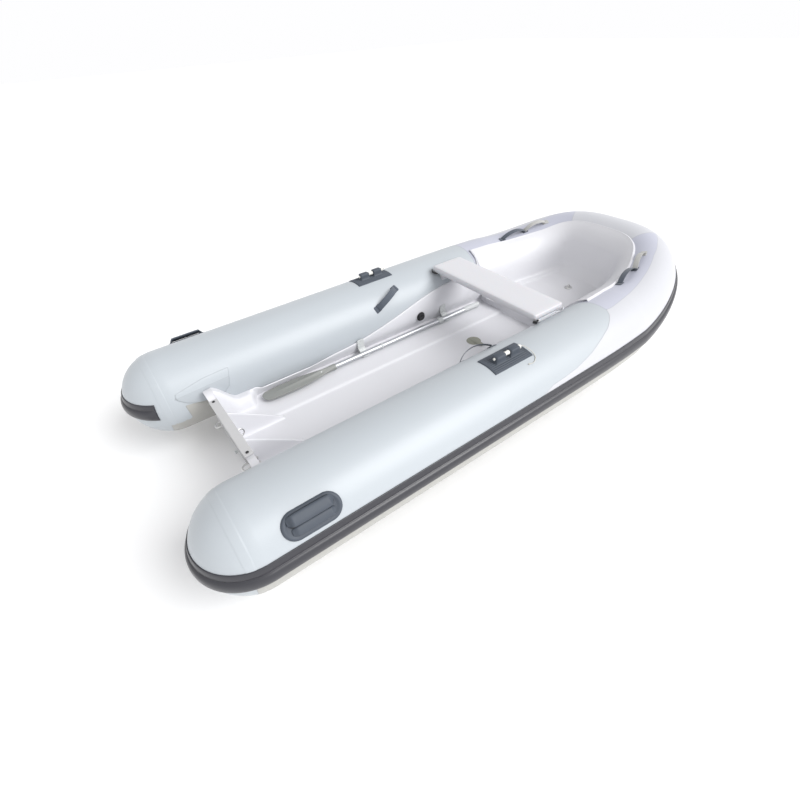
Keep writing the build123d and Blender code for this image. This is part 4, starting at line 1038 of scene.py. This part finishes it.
def apply_modifiers(made):
    """Make a piece's modifiers part of its mesh."""
    bpy.context.view_layer.update()
    graph = bpy.context.evaluated_depsgraph_get()
    mesh = bpy.data.meshes.new_from_object(made.evaluated_get(graph))
    made.modifiers.clear()
    made.data = mesh
    return made


# ---- oars ---------------------------------------------------------------------------------------
OAR_Y, OAR_Z, OAR_TIP = 0.266, 0.216, -0.985


class DINGHY_OT_oars(bpy.types.Operator):
    """Oars with ribbed blades, collars and grips, and the clips that hold them"""
    bl_idname = "dinghy.oars"
    bl_label = "Oars and clips"

    def execute(self, context):
        # Blade: at each place along it a lens, under a rib that swells towards the socket.
        along = np.concatenate([OAR_TIP + 0.390 * (1 - np.cos(np.linspace(0, math.pi / 2, 20))) * 0.30,
                                np.linspace(OAR_TIP + 0.125, OAR_TIP + 0.420, 60)])
        from_tip = along - OAR_TIP
        width = np.interp(from_tip, [0, 0.002, 0.010, 0.025, 0.045, 0.10, 0.18, 0.24, 0.30, 0.345, 0.38,
                                     0.42],
                          [0.0, 0.016, 0.0300, 0.0385, 0.0425, 0.0452, 0.0460, 0.0436, 0.0335, 0.0225, 0.0172,
                           0.0170])
        thick = np.interp(from_tip, [0, 0.01, 0.05, 0.30, 0.36, 0.42],
                          [0.001, 0.0024, 0.0030, 0.0036, 0.010, 0.0170])
        rib = np.interp(from_tip, [0, 0.05, 0.10, 0.32, 0.38, 0.42], [0, 0.0, 0.0035, 0.0125, 0.004, 0.0])
        turn = np.linspace(0, 2 * math.pi, 48, endpoint=False)
        y = width[:, None] * np.cos(turn)
        ridge = rib[:, None] * np.exp(-(y / 0.009) ** 2) * np.sign(np.sin(turn)) * (np.abs(np.sin(turn)) > 0.01)
        z = thick[:, None] * np.sin(turn) + ridge
        blade = shell("oar_blade", capped(np.stack([along[:, None] + 0 * y, OAR_Y + y, OAR_Z + z], -1)))
        settle_pair(blade, "blade", "oar_{}", ["oar_blade_{}"], "oar_blade_moulding_{}")

        def on_shaft(x):
            return (x, OAR_Y, OAR_Z)
        for side in ("port", "starboard"):
            paint(f"oar_shaft_{side}", "aluminium")
        ahead = (1, 0, 0)
        rings = [(0.0141, 0), (0.0170, 0.0004), (0.0180, 0.002), (0.0180, 0.009), (0.0165, 0.010),
                 (0.0165, 0.0135),
                 (0.0180, 0.0145), (0.0180, 0.0195), (0.0165, 0.0205), (0.0165, 0.024), (0.0180, 0.025),
                 (0.0180, 0.032), (0.0170, 0.0336), (0.0141, 0.034), (0.0141, 0)]
        collar = lathe("oar_collar", rings, on_shaft(0.165), ahead)
        stop = lathe("stop", [(0.0141, 0), (0.0158, 0.0005), (0.0162, 0.006), (0.0158, 0.0115),
                              (0.0141, 0.012),
                              (0.0141, 0)], on_shaft(-0.262), ahead)
        settle_pair(join("oar_collar", [collar, stop]), "clip", "oar_{}",
                    ["oar_collar_{}"], "oar_collar_rings_{}")
        at = np.linspace(0, 1, 90)
        swell = 0.0152 + 0.0017 * np.sin(at * math.pi) ** 0.5 - 0.0008 * (0.5 + 0.5 * np.cos(at * math.pi * 22)) * (
            (at > 0.08) & (at < 0.92))
        profile = [(0.0141, 0), *zip(swell, at * 0.120), (0.0150, 0.1235), (0.0110, 0.1255), (0, 0.126),
                   (0, 0.02)]
        grip = lathe("oar_grip", profile, on_shaft(0.380), ahead, 32)
        settle_pair(grip, "clip", "oar_{}", ["oar_grip_{}"], "oar_grip_sleeve_{}")
        self.clips()
        return {"FINISHED"}

    @staticmethod
    def clips():
        """A screwed plate on the wall and a J of flat plastic that cradles the shaft from below."""
        face = float(clear_y(np.array([0.0]), 0.292, 0.0100)[0]) - CLEARANCE
        parts = []
        for x in (-0.372, 0.232):
            plate = outline_plate("plate", rounded(0.042, 0.090, 0.006), 0.003,
                                  placer((x, face, 0.246), (1, 0, 0), (0, 0, 1), (0, -1, 0)), 0.0012)
            parts.append(apply_modifiers(plate))
            turn = np.radians(np.linspace(213, 392, 30))
            arc = np.stack([np.full(30, x), OAR_Y + 0.0166 * np.cos(turn), OAR_Z + 0.0166 * np.sin(turn)], 1)
            start = arc[:1] + [[0, -0.004, 0.005]]
            tail = np.array([[x, 0.2860, 0.2320], [x, face - 0.002, 0.2420]])
            path = eased(np.concatenate([start, arc, tail]), [0.002] * 31, 3)
            parts.append(swept("hook", path, rounded(0.0042, 0.042, 0.0018, 3), (1, 0, 0)))
            for z in (0.279, 0.260):
                parts.append(lathe("rivet", [(0, 0.0022), (0.002, 0.002), (0.0034, 0.001), (0.0036, 0),
                                             (0, 0)],
                                   (x, face - 0.003, z), (0, -1, 0), 16))
        settle_pair(join("oar_clip", parts), "clip", "boat", ["oar_clips_{}"],
                    "oar_clip_hooks_{}")


# ---- handles, straps and oarlocks ---------------------------------------------------------------
def tube_placer(x, angle, turn=0.0):
    """Wraps flat coordinates on the port side tube: a forward, b round it upwards, c proud of its surface."""
    def place(a, b, c):
        a, b, c = np.broadcast_arrays(np.asarray(a, float), np.asarray(b, float), np.asarray(c, float))
        a, b = a * math.cos(turn) - b * math.sin(turn), a * math.sin(turn) + b * math.cos(turn)
        around = math.radians(angle) + b / TUBE_RADIUS
        reach = TUBE_RADIUS + c
        return np.stack([x + a, HALF_SPACING + reach * np.cos(around), TUBE_HEIGHT + reach * np.sin(around)],
                        -1)
    return place


class DINGHY_OT_handles(bpy.types.Operator):
    """Moulded carry handles: an oval dish with a raised bar across its upper half"""
    bl_idname = "dinghy.handles"
    bl_label = "Carry handles"

    def execute(self, context):
        place = tube_placer(-1.169, 37)
        rows = []
        for inset, height in (
                (0.0, 0.0003), (0.0, 0.0022), (0.0015, 0.0052), (0.0045, 0.0078), (0.0085, 0.0088),
                (0.0125, 0.0080),
                (0.0170, 0.0055), (0.0215, 0.0042), (0.0300, 0.0040), (0.0440, 0.0042)):
            rows.append((0.218 - 2 * inset, 0.104 - 2 * inset, max(0.0515 - inset, 0.004), height))
        dish = stacked("carry_handle", rows, place, 14)
        # The bar above the finger gap rises higher than the swell below it; both run out at their ends.
        bar = self.swell(place, 0.086, 0.0215, 0.0185, 0.022, 0.005)
        lower = self.swell(place, 0.080, -0.0165, 0.0165, 0.0095, 0.002)
        settle_pair(join("carry_handle", [dish, bar, lower]), "slate", "boat",
                    ["carry_handle_{}"], "carry_handle_moulding_{}")
        # A dark cord along the lower edge of the bar, turning up at its forward end: painted shadow where the slot
        # under the bar lies in shade.
        line = eased(np.array([[-0.078, 0.006, 0.010], [-0.070, 0.0015, 0.0125], [0.068, 0.0015, 0.0125],
                               [0.080, 0.008, 0.011], [0.083, 0.026, 0.009]]), [0.010, 0.012, 0.012], 8)
        painted_slot_shadow = swept("painted_slot_shadow", place(line[:, 0], line[:, 1], line[:, 2]), circle(0.0030, 10), (0, 0, 1))
        settle_pair(painted_slot_shadow, "dark", "boat", ["carry_handle_{}"], "carry_handle_gap_{}")
        return {"FINISHED"}

    @staticmethod
    def swell(place, reach, across, half_width, rise, base):
        """Rounded ridge along the dish, half_width to each side of across, that runs out towards its ends."""
        t = np.linspace(-1, 1, 61)
        grow = smooth((1 - np.abs(t)) / 0.24)
        turn = np.linspace(0, 2 * math.pi, 36, endpoint=False)
        width = half_width * (0.55 + 0.45 * np.sqrt(np.clip(1 - np.abs(t) ** 6, 0, 1)))
        ring_b = across + width[:, None] * np.sign(np.cos(turn)) * np.abs(np.cos(turn)) ** 0.75
        ring_c = (base + rise * grow)[:, None] + 0.0062 * np.sign(np.sin(turn)) * np.abs(np.sin(turn)) ** 0.85
        return shell("swell", capped(place(reach * t[:, None] + 0 * ring_b, ring_b, ring_c)))


OARLOCK_X, OARLOCK_ANGLE = -0.127, 86
PIN_PROUD, PIN_END = 0.0224, 0.0853   # the pin's axis off the tube, and its knob's end ahead of its middle


class DINGHY_OT_oarlocks(bpy.types.Operator):
    """Oarlock patches with ribbed tops and two lugs, the pins through them and their lanyards"""
    bl_idname = "dinghy.oarlocks"
    bl_label = "Oarlocks and lanyards"

    def execute(self, context):
        place = tube_placer(OARLOCK_X, OARLOCK_ANGLE)
        # Height over the patch: edges fall off within 3 mm, and ribs 9 mm apart run lengthwise.
        a, b = np.meshgrid(np.linspace(-0.1145, 0.1145, 120), np.linspace(-0.0565, 0.0565, 110),
                           indexing="ij")
        edge = np.minimum(0.1145 - np.abs(a), 0.0565 - np.abs(b))
        ribs = 0.0011 * np.clip(np.cos(b / 0.0095 * 2 * math.pi) * 2.2, -1,
                                1) * smooth((edge - 0.006) / 0.004)
        height = 0.0003 + (0.0040 + ribs) * smooth(edge / 0.0022)
        parts = [surface("oarlock", place(a, b, height))]
        out = np.array([0, math.cos(math.radians(OARLOCK_ANGLE)), math.sin(math.radians(OARLOCK_ANGLE))])
        side = np.array([0, -out[2], out[1]])
        for centre in (-0.043, 0.043):
            rows = [(0.064, 0.044, 0.008, 0.002), (0.060, 0.039, 0.007, 0.0055), (0.057, 0.035, 0.006, 0.009),
                    (0.0555, 0.0335, 0.006, 0.020), (0.0545, 0.0325, 0.006, 0.0325),
                    (0.0520, 0.0300, 0.005, 0.0350),
                    (0.0470, 0.0250, 0.004, 0.0362)]
            origin = side_point(OARLOCK_X, OARLOCK_ANGLE) + [centre, 0, 0]
            parts.append(stacked("lug", rows, placer(origin, (1, 0, 0), side, out)))
        settle_pair(join("oarlock", parts), "slate", "boat", ["oarlock_base_{}"],
                    "oarlock_patch_{}")

        middle = side_point(OARLOCK_X, OARLOCK_ANGLE, PIN_PROUD)
        profile = [(0, -0.0775), (0.0042, -0.0772), (0.0059, -0.0755), (0.0059, 0.0712), (0.0096, 0.0715),
                   (0.0100, 0.0730), (0.0100, 0.0770), (0.0088, 0.0780), (0.0088, 0.0800), (0.0100, 0.0810),
                   (0.0100, 0.0838), (0.0092, 0.0851), (0, PIN_END)]
        pin = lathe("oarlock_pin", profile, middle, (1, 0, 0), 28)
        roller = lathe("roller", [(0.0060, -0.0135), (0.0098, -0.0133), (0.0105, -0.012), (0.0092, -0.004),
                                  (0.0092, 0.004), (0.0105, 0.012), (0.0098, 0.0133), (0.0060, 0.0135),
                                  (0.0060, -0.0135)], middle, (1, 0, 0), 28)
        settle_pair(join("oarlock_pin", [pin, roller]), "nylon", "oarlock_pin_{}_body",
                    ["oarlock_pin_{}"], "oarlock_pin_turned_{}")
        for side_name in ("port", "starboard"):
            self.lanyard(side_name)
        return {"FINISHED"}

    @staticmethod
    def lanyard(side):
        """Thin cord from the pin's knob over the outside of the tube, with a stopper knot at its end."""
        start = side_point(OARLOCK_X, OARLOCK_ANGLE, PIN_PROUD) + [PIN_END, 0, 0]
        spots = [(0.112, 78.5, 0.016), (0.122, 73, 0.007), (0.120, 67, 0.003), (0.108, 63.5, 0.003),
                 (0.094, 61.5, 0.003), (0.080, 61, 0.003), (0.068, 62, 0.003)]
        points = [start, start + [0.014, 0, 0],
                  *(side_point(OARLOCK_X + x, angle, proud) for x, angle, proud in spots)]
        route = np.array(points) * (1 if side == "port" else [1, -1, 1])
        curve = bpy.data.curves.new(f"pin_lanyard_cord_{side}", "CURVE")
        curve.dimensions = "3D"
        spline = curve.splines.new("NURBS")
        spline.points.add(len(route) - 1)
        spline.points.foreach_set("co", np.concatenate([route, np.ones((len(route), 1))], 1).ravel())
        spline.order_u = 3
        spline.use_endpoint_u = True
        spline.resolution_u = 12
        line = bpy.data.objects.new("line", curve)
        mesh = bpy.data.meshes.new_from_object(line)
        path = np.zeros(len(mesh.vertices) * 3)
        mesh.vertices.foreach_get("co", path)
        path = path.reshape(-1, 3)
        curve.bevel_depth, curve.bevel_resolution = 0.0016, 4
        curve.use_fill_caps = True
        cord = bpy.data.objects.new(curve.name, curve)
        bpy.context.scene.collection.objects.link(cord)
        way = unit(path[-1] - path[-3])
        turns = [(0, -0.001), (0.0024, -0.0008)]
        for k in range(4):
            turns += [(0.0022, 0.0001 + 0.0019 * k), (0.0032, 0.0010 + 0.0019 * k)]
        turns += [(0.0022, 0.0078), (0.0018, 0.0079), (0.0019, 0.0090), (0, 0.0092)]
        knot = lathe(f"lanyard_stopper_knot_{side}", turns, path[-1], way, 20)
        body = f"oarlock_pin_{side}_body"
        settle(knot, "cord", body, [f"lanyard_knot_{side}"])
        settle(cord, "cord", body, [f"pin_lanyard_{side}"])


def ribbon(name, path, up, width, thickness):
    """Flat webbing along a path: a thin section with rounded edges. UVs run along and across in metres."""
    section = rounded(width, thickness, thickness * 0.48, 3)
    along = path_length(path)
    along = np.concatenate([along[:1], along, along[-1:]])
    return swept(name, path, section, up, np.stack(np.broadcast_arrays(along[:, None], section[:, 0]), -1))


def arch(start, end, outward, rise, count=40):
    """Arc of a circle from start to end that stands rise above their line, with feet that lie along it."""
    along = end - start
    lift = unit(outward - along * (outward @ along) / (along @ along))
    half = np.linalg.norm(along) / 2
    radius = (half**2 + rise**2) / (2 * rise)
    turn = np.linspace(-1, 1, count) * math.asin(half / radius)
    middle = (start + end) / 2
    return middle + (radius * np.sin(turn))[:, None] * unit(along) + (
        radius * np.cos(turn) - (radius - rise))[:, None] * lift, lift


class DINGHY_OT_straps(bpy.types.Operator):
    """Webbing grab straps beside the seat and round the bow, on welded patches"""
    bl_idname = "dinghy.straps"
    bl_label = "Grab straps"

    def execute(self, context):
        thickness = context.scene.dinghy_sizes.strap
        ends = ((-0.213, 149), (-0.062, 129))
        start, end = (side_point(x, angle, 0.0042) for x, angle in ends)
        middle = math.radians(139)
        path, lift = arch(start, end, np.array([0, math.cos(middle), math.sin(middle)]), 0.036)
        parts = [ribbon("cockpit_strap", path, lift, 0.036, thickness)]
        for x, angle in ends:
            rows = [(0.040, 0.040, 0.006, 0.0003), (0.040, 0.040, 0.006, 0.0018),
                    (0.038, 0.038, 0.005, 0.0029),
                    (0.030, 0.030, 0.004, 0.0031)]
            parts.append(stacked("foot", rows, tube_placer(x, angle, math.radians(-20))))
        settle_pair(join("cockpit_strap", parts), "webbing", "boat", ["cockpit_strap_{}"],
                    "cockpit_grab_strap_{}")

        stations, around = (57, 48, 39), 106
        frames = [bow_frames([s - 1, s, s + 1]) for s in stations]
        normals, spots, alongs = [], [], []
        for each in frames:
            near = on_tube(each, [around - 1, around, around + 1], 0.0)
            along, across = near[0, 1] - near[2, 1], near[1, 2] - near[1, 0]
            normals.append(unit(np.cross(across, along)))
            spots.append(near[1, 1] + normals[-1] * 0.0030)
            alongs.append(unit(along))
        for k, name in ((0, "webbing"), (1, "pale_webbing")):
            path, lift = arch(spots[k], spots[k + 1], normals[1], 0.0305)
            parts = [ribbon("bow_strap", path, lift, 0.030, thickness)]
            for at in ((0, 1), (2,))[k]:
                rows = [(0.040, 0.034, 0.005, -0.0028), (0.040, 0.034, 0.005, -0.0006),
                        (0.038, 0.032, 0.005, 0.0004),
                        (0.030, 0.026, 0.004, 0.0006)]
                side = np.cross(normals[at], alongs[at])
                parts.append(stacked("foot", rows, placer(spots[at], alongs[at], side, normals[at])))
            settle_pair(join("bow_strap", parts), name, "boat", ["bow_strap_{}"],
                        ("bow_grab_strap_aft_{}", "bow_grab_strap_forward_{}")[k])
        return {"FINISHED"}


# ---- metal and small fittings -------------------------------------------------------------------
def rod(name, path, radius, up):
    """Round bar along a path."""
    return swept(name, path, circle(radius, 16), up)


class DINGHY_OT_fittings(bpy.types.Operator):
    """Stern eyes, safety ring, bow eye, lashing patch and inflation valves"""
    bl_idname = "dinghy.fittings"
    bl_label = "Eyes, ring, patch and valves"

    def execute(self, context):
        origin, port, up, ahead = transom_frame()
        centre = origin + up * 0.262 / math.cos(RAKE) + port * 0.165
        turn = np.radians(np.linspace(0, 180, 30))
        # The U bolt goes through the board and stands 34 mm clear of its back.
        reach = TRANSOM_THICK + 0.034 - 0.017
        bend = (centre - ahead * reach + port * (0.017 * np.cos(turn))[:, None]
                - ahead * (0.017 * np.sin(turn))[:, None])
        legs = [centre + port * s * 0.017 + ahead * 0.011 for s in (1, -1)]
        path = np.concatenate([np.linspace(legs[0], bend[0], 8)[:-1], bend,
                               np.linspace(bend[-1], legs[1], 8)[1:]])
        parts = [rod("stern_eye", path, 0.004, up)]
        plate = outline_plate("plate", rounded(0.060, 0.024, 0.005), 0.002,
                              placer(centre + ahead * CLEARANCE, port, up, ahead), 0.0006)
        parts.append(apply_modifiers(plate))
        for s in (1, -1):
            nut = outline_plate("nut", rounded(0.014, 0.014, 0.0015, 2), 0.006,
                                placer(centre + port * s * 0.017 + ahead * 0.0026, port, up, ahead), 0.0008,
                                2)
            parts.append(apply_modifiers(nut))
        settle_pair(join("stern_eye", parts), "steel", "boat", ["stern_eye_{}"],
                    "stern_eye_bolt_{}")

        middle = origin + up * 0.300 / math.cos(RAKE) + ahead * CLEARANCE
        arc = (middle + ahead * 0.003 + up * (0.020 * np.cos(turn))[:, None]
               + ahead * (0.020 * np.sin(turn))[:, None])
        plate = outline_plate("plate", rounded(0.026, 0.060, 0.006), 0.003, placer(middle, port, up, ahead),
                              0.0008)
        parts = [apply_modifiers(plate), rod("ring", arc, 0.003, port)]
        settle(join("transom_safety_ring", parts), "steel", "boat", ["transom_ring"])

        base = np.array([1.060, 0, float(floor_at(np.array(1.060))) + 0.0062])
        arc = base + [0, 0, 0.002] + np.stack([0.014 * np.cos(turn), 0 * turn, 0.015 * np.sin(turn)], 1)
        disc = lathe("plate", [(0, 0.0030), (0.0215, 0.0030), (0.0235, 0.0020), (0.0240, -0.003),
                               (0, -0.003)],
                     base, (0, 0, 1))
        settle(join("bow_lifting_eye", [disc, rod("eye", arc, 0.003, (0, 1, 0))]), "steel", "boat",
               ["bow_eye"])

        spot = np.array([0.215, 0, FLOOR + CLEARANCE])
        disc = lathe("lashing_patch", [(0, 0.0034), (0.018, 0.0034), (0.034, 0.0030), (0.0400, 0.0020),
                                       (0.0420, 0.0003), (0.0420, 0), (0, 0)], spot, (0, 0, 1), 64)
        tab = ribbon("tab", np.linspace(spot + [0.002, 0.008, 0.0045], spot + [0.002, -0.074, 0.0062], 20),
                     (0, 0, 1),
                     0.028, 0.0025)
        settle(join("floor_lashing_patch", [disc, tab]), "patch", "boat", ["floor_patch"])
        self.valve()
        return {"FINISHED"}

    @staticmethod
    def valve():
        """Flange, and a cap with a grip bar and a rim; the barrel and stem are the CAD's."""
        back = float(clear_y(np.array([0.06]), TUBE_HEIGHT, 0.010)[0]) - CLEARANCE
        origin = np.array([0.060, back, 0.274])
        inward = (0, -1, 0)
        flange = lathe("valve_flange", [(0.0132, -0.034), (0.0179, -0.034), (0.0179, 0.0), (0.0280, 0.0),
                                        (0.0280, 0.0022), (0.0268, 0.0036), (0.0250, 0.0040),
                                        (0.0140, 0.0040),
                                        (0.0132, 0.0034), (0.0132, -0.034)], origin, inward, 64)
        settle_pair(flange, "dark", "boat", ["valve_body_{}"], "valve_flange_{}")
        cap = lathe("valve_cap", [(0, 0.0094), (0.0150, 0.0094), (0.0166, 0.0108), (0.0196, 0.0128),
                                  (0.0212, 0.0120),
                                  (0.0220, 0.0096), (0.0220, 0.0046), (0.0204, 0.0044), (0.0200, 0.0090),
                                  (0, 0.0090)],
                    origin, inward, 64)
        bar = outline_plate("bar", rounded(0.0300, 0.0055, 0.0026), 0.0050,
                            placer(origin + np.array([0, -0.0090, 0]), (1, 0, 0), (0, 0, 1), inward), 0.0010)
        settle_pair(join("valve_cap", [cap, apply_modifiers(bar)]), "dark", "valve_cap_{}_body",
                    ["valve_cap_{}"], "valve_cap_moulding_{}")
        for side in ("port", "starboard"):
            paint(f"valve_stem_{side}", "nylon")


# ---- stage --------------------------------------------------------------------------------------
class DINGHY_OT_stage(bpy.types.Operator):
    """Pale floor, soft studio light and the camera"""
    bl_idname = "dinghy.stage"
    bl_label = "Floor, light and camera"

    def execute(self, context):
        scene = context.scene
        scene.view_settings.view_transform = "Standard"
        scene.view_settings.look = "None"
        floor = surface(
            "studio_floor", np.array([[[x, y, 0.0] for y in (-30.0, 30.0)] for x in (-30.0, 30.0)]))
        floor.data.materials.append(simple_material(
            "pale_floor", linear("#FCFCFC"), {"Roughness": 0.9, "IOR": 1.3}, 30, 0.05, 2000, 0.005))

        world = bpy.data.worlds.new("studio")
        world.use_nodes = True
        tree, backdrop = world.node_tree, world.node_tree.nodes["Background"]
        backdrop.inputs["Color"].default_value = linear("#FEFEFF")
        # The sky dims overhead and to port, so that the light comes from starboard.
        way = add_node(tree, "ShaderNodeTexCoord").outputs["Generated"]
        toward = add_node(tree, "ShaderNodeVectorMath", {"operation": "DOT_PRODUCT", 1: (-0.1, 0.45, 0.887)},
                          {0: way})
        dim = add_node(tree, "ShaderNodeMapRange",
                       {"From Min": 0.56, "From Max": 1.0, "To Min": 1.0, "To Max": 0.42},
                       {"Value": toward.outputs["Value"]})
        tree.links.new(dim.outputs["Result"], backdrop.inputs["Strength"])
        scene.world = world
        lamp = bpy.data.lights.new("key light", "SUN")
        lamp.energy, lamp.angle = 2.35, math.radians(38)
        key = bpy.data.objects.new("key light", lamp)
        key.rotation_euler = Vector((0.42, -0.72, 0.66)).to_track_quat("Z", "Y").to_euler()
        scene.collection.objects.link(key)

        azimuth, elevation, roll = math.radians(55.566), math.radians(40.297), math.radians(-3.264)
        back = Vector((-math.cos(azimuth) * math.cos(elevation), -math.sin(azimuth) * math.cos(elevation),
                       math.sin(elevation)))
        camera = bpy.data.cameras.new("camera")
        camera.sensor_width, camera.lens = 36.0, 20.378
        camera.clip_start, camera.clip_end = 0.05, 100
        eye = bpy.data.objects.new("camera", camera)
        right = (-back).cross(Vector((0, 0, 1))).normalized()
        above = right.cross(-back)
        turned = right * math.cos(roll) + above * math.sin(roll)
        above = -right * math.sin(roll) + above * math.cos(roll)
        facing = Matrix((turned, above, back)).transposed().to_4x4()
        eye.matrix_world = Matrix.Translation(Vector((-0.516, -0.268, 0.300)) + back * 2.0989) @ facing
        scene.collection.objects.link(eye)
        scene.camera = eye
        return {"FINISHED"}


class DINGHY_PT_panel(bpy.types.Panel):
    """Builds the boat piece by piece"""
    bl_label = "Dinghy"
    bl_idname = "DINGHY_PT_panel"
    bl_space_type = "VIEW_3D"
    bl_region_type = "UI"
    bl_category = "Dinghy"

    def draw(self, context):
        for group in (context.scene.dinghy_colours, context.scene.dinghy_sizes):
            box = self.layout.box()
            for key in group.__annotations__:
                box.prop(group, key)
        for operator in OPERATORS:
            self.layout.operator(operator.bl_idname)


OPERATORS = (DINGHY_OT_stage, DINGHY_OT_tubes, DINGHY_OT_strakes, DINGHY_OT_deck, DINGHY_OT_hull,
             DINGHY_OT_transom,
             DINGHY_OT_seat, DINGHY_OT_oars, DINGHY_OT_handles, DINGHY_OT_oarlocks, DINGHY_OT_straps,
             DINGHY_OT_fittings)
CLASSES = (DinghyColours, DinghySizes, *OPERATORS, DINGHY_PT_panel)


def register():
    for each in CLASSES:
        bpy.utils.register_class(each)
    bpy.types.Scene.dinghy_colours = bpy.props.PointerProperty(type=DinghyColours)
    bpy.types.Scene.dinghy_sizes = bpy.props.PointerProperty(type=DinghySizes)


def unregister():
    del bpy.types.Scene.dinghy_sizes
    del bpy.types.Scene.dinghy_colours
    for each in reversed(CLASSES):
        bpy.utils.unregister_class(each)


def main():
    register()
    finishes.update(build_materials())
    for operator in OPERATORS:
        getattr(bpy.ops.dinghy, operator.bl_idname.split(".")[1])()


if __name__ == "__main__":
    main()
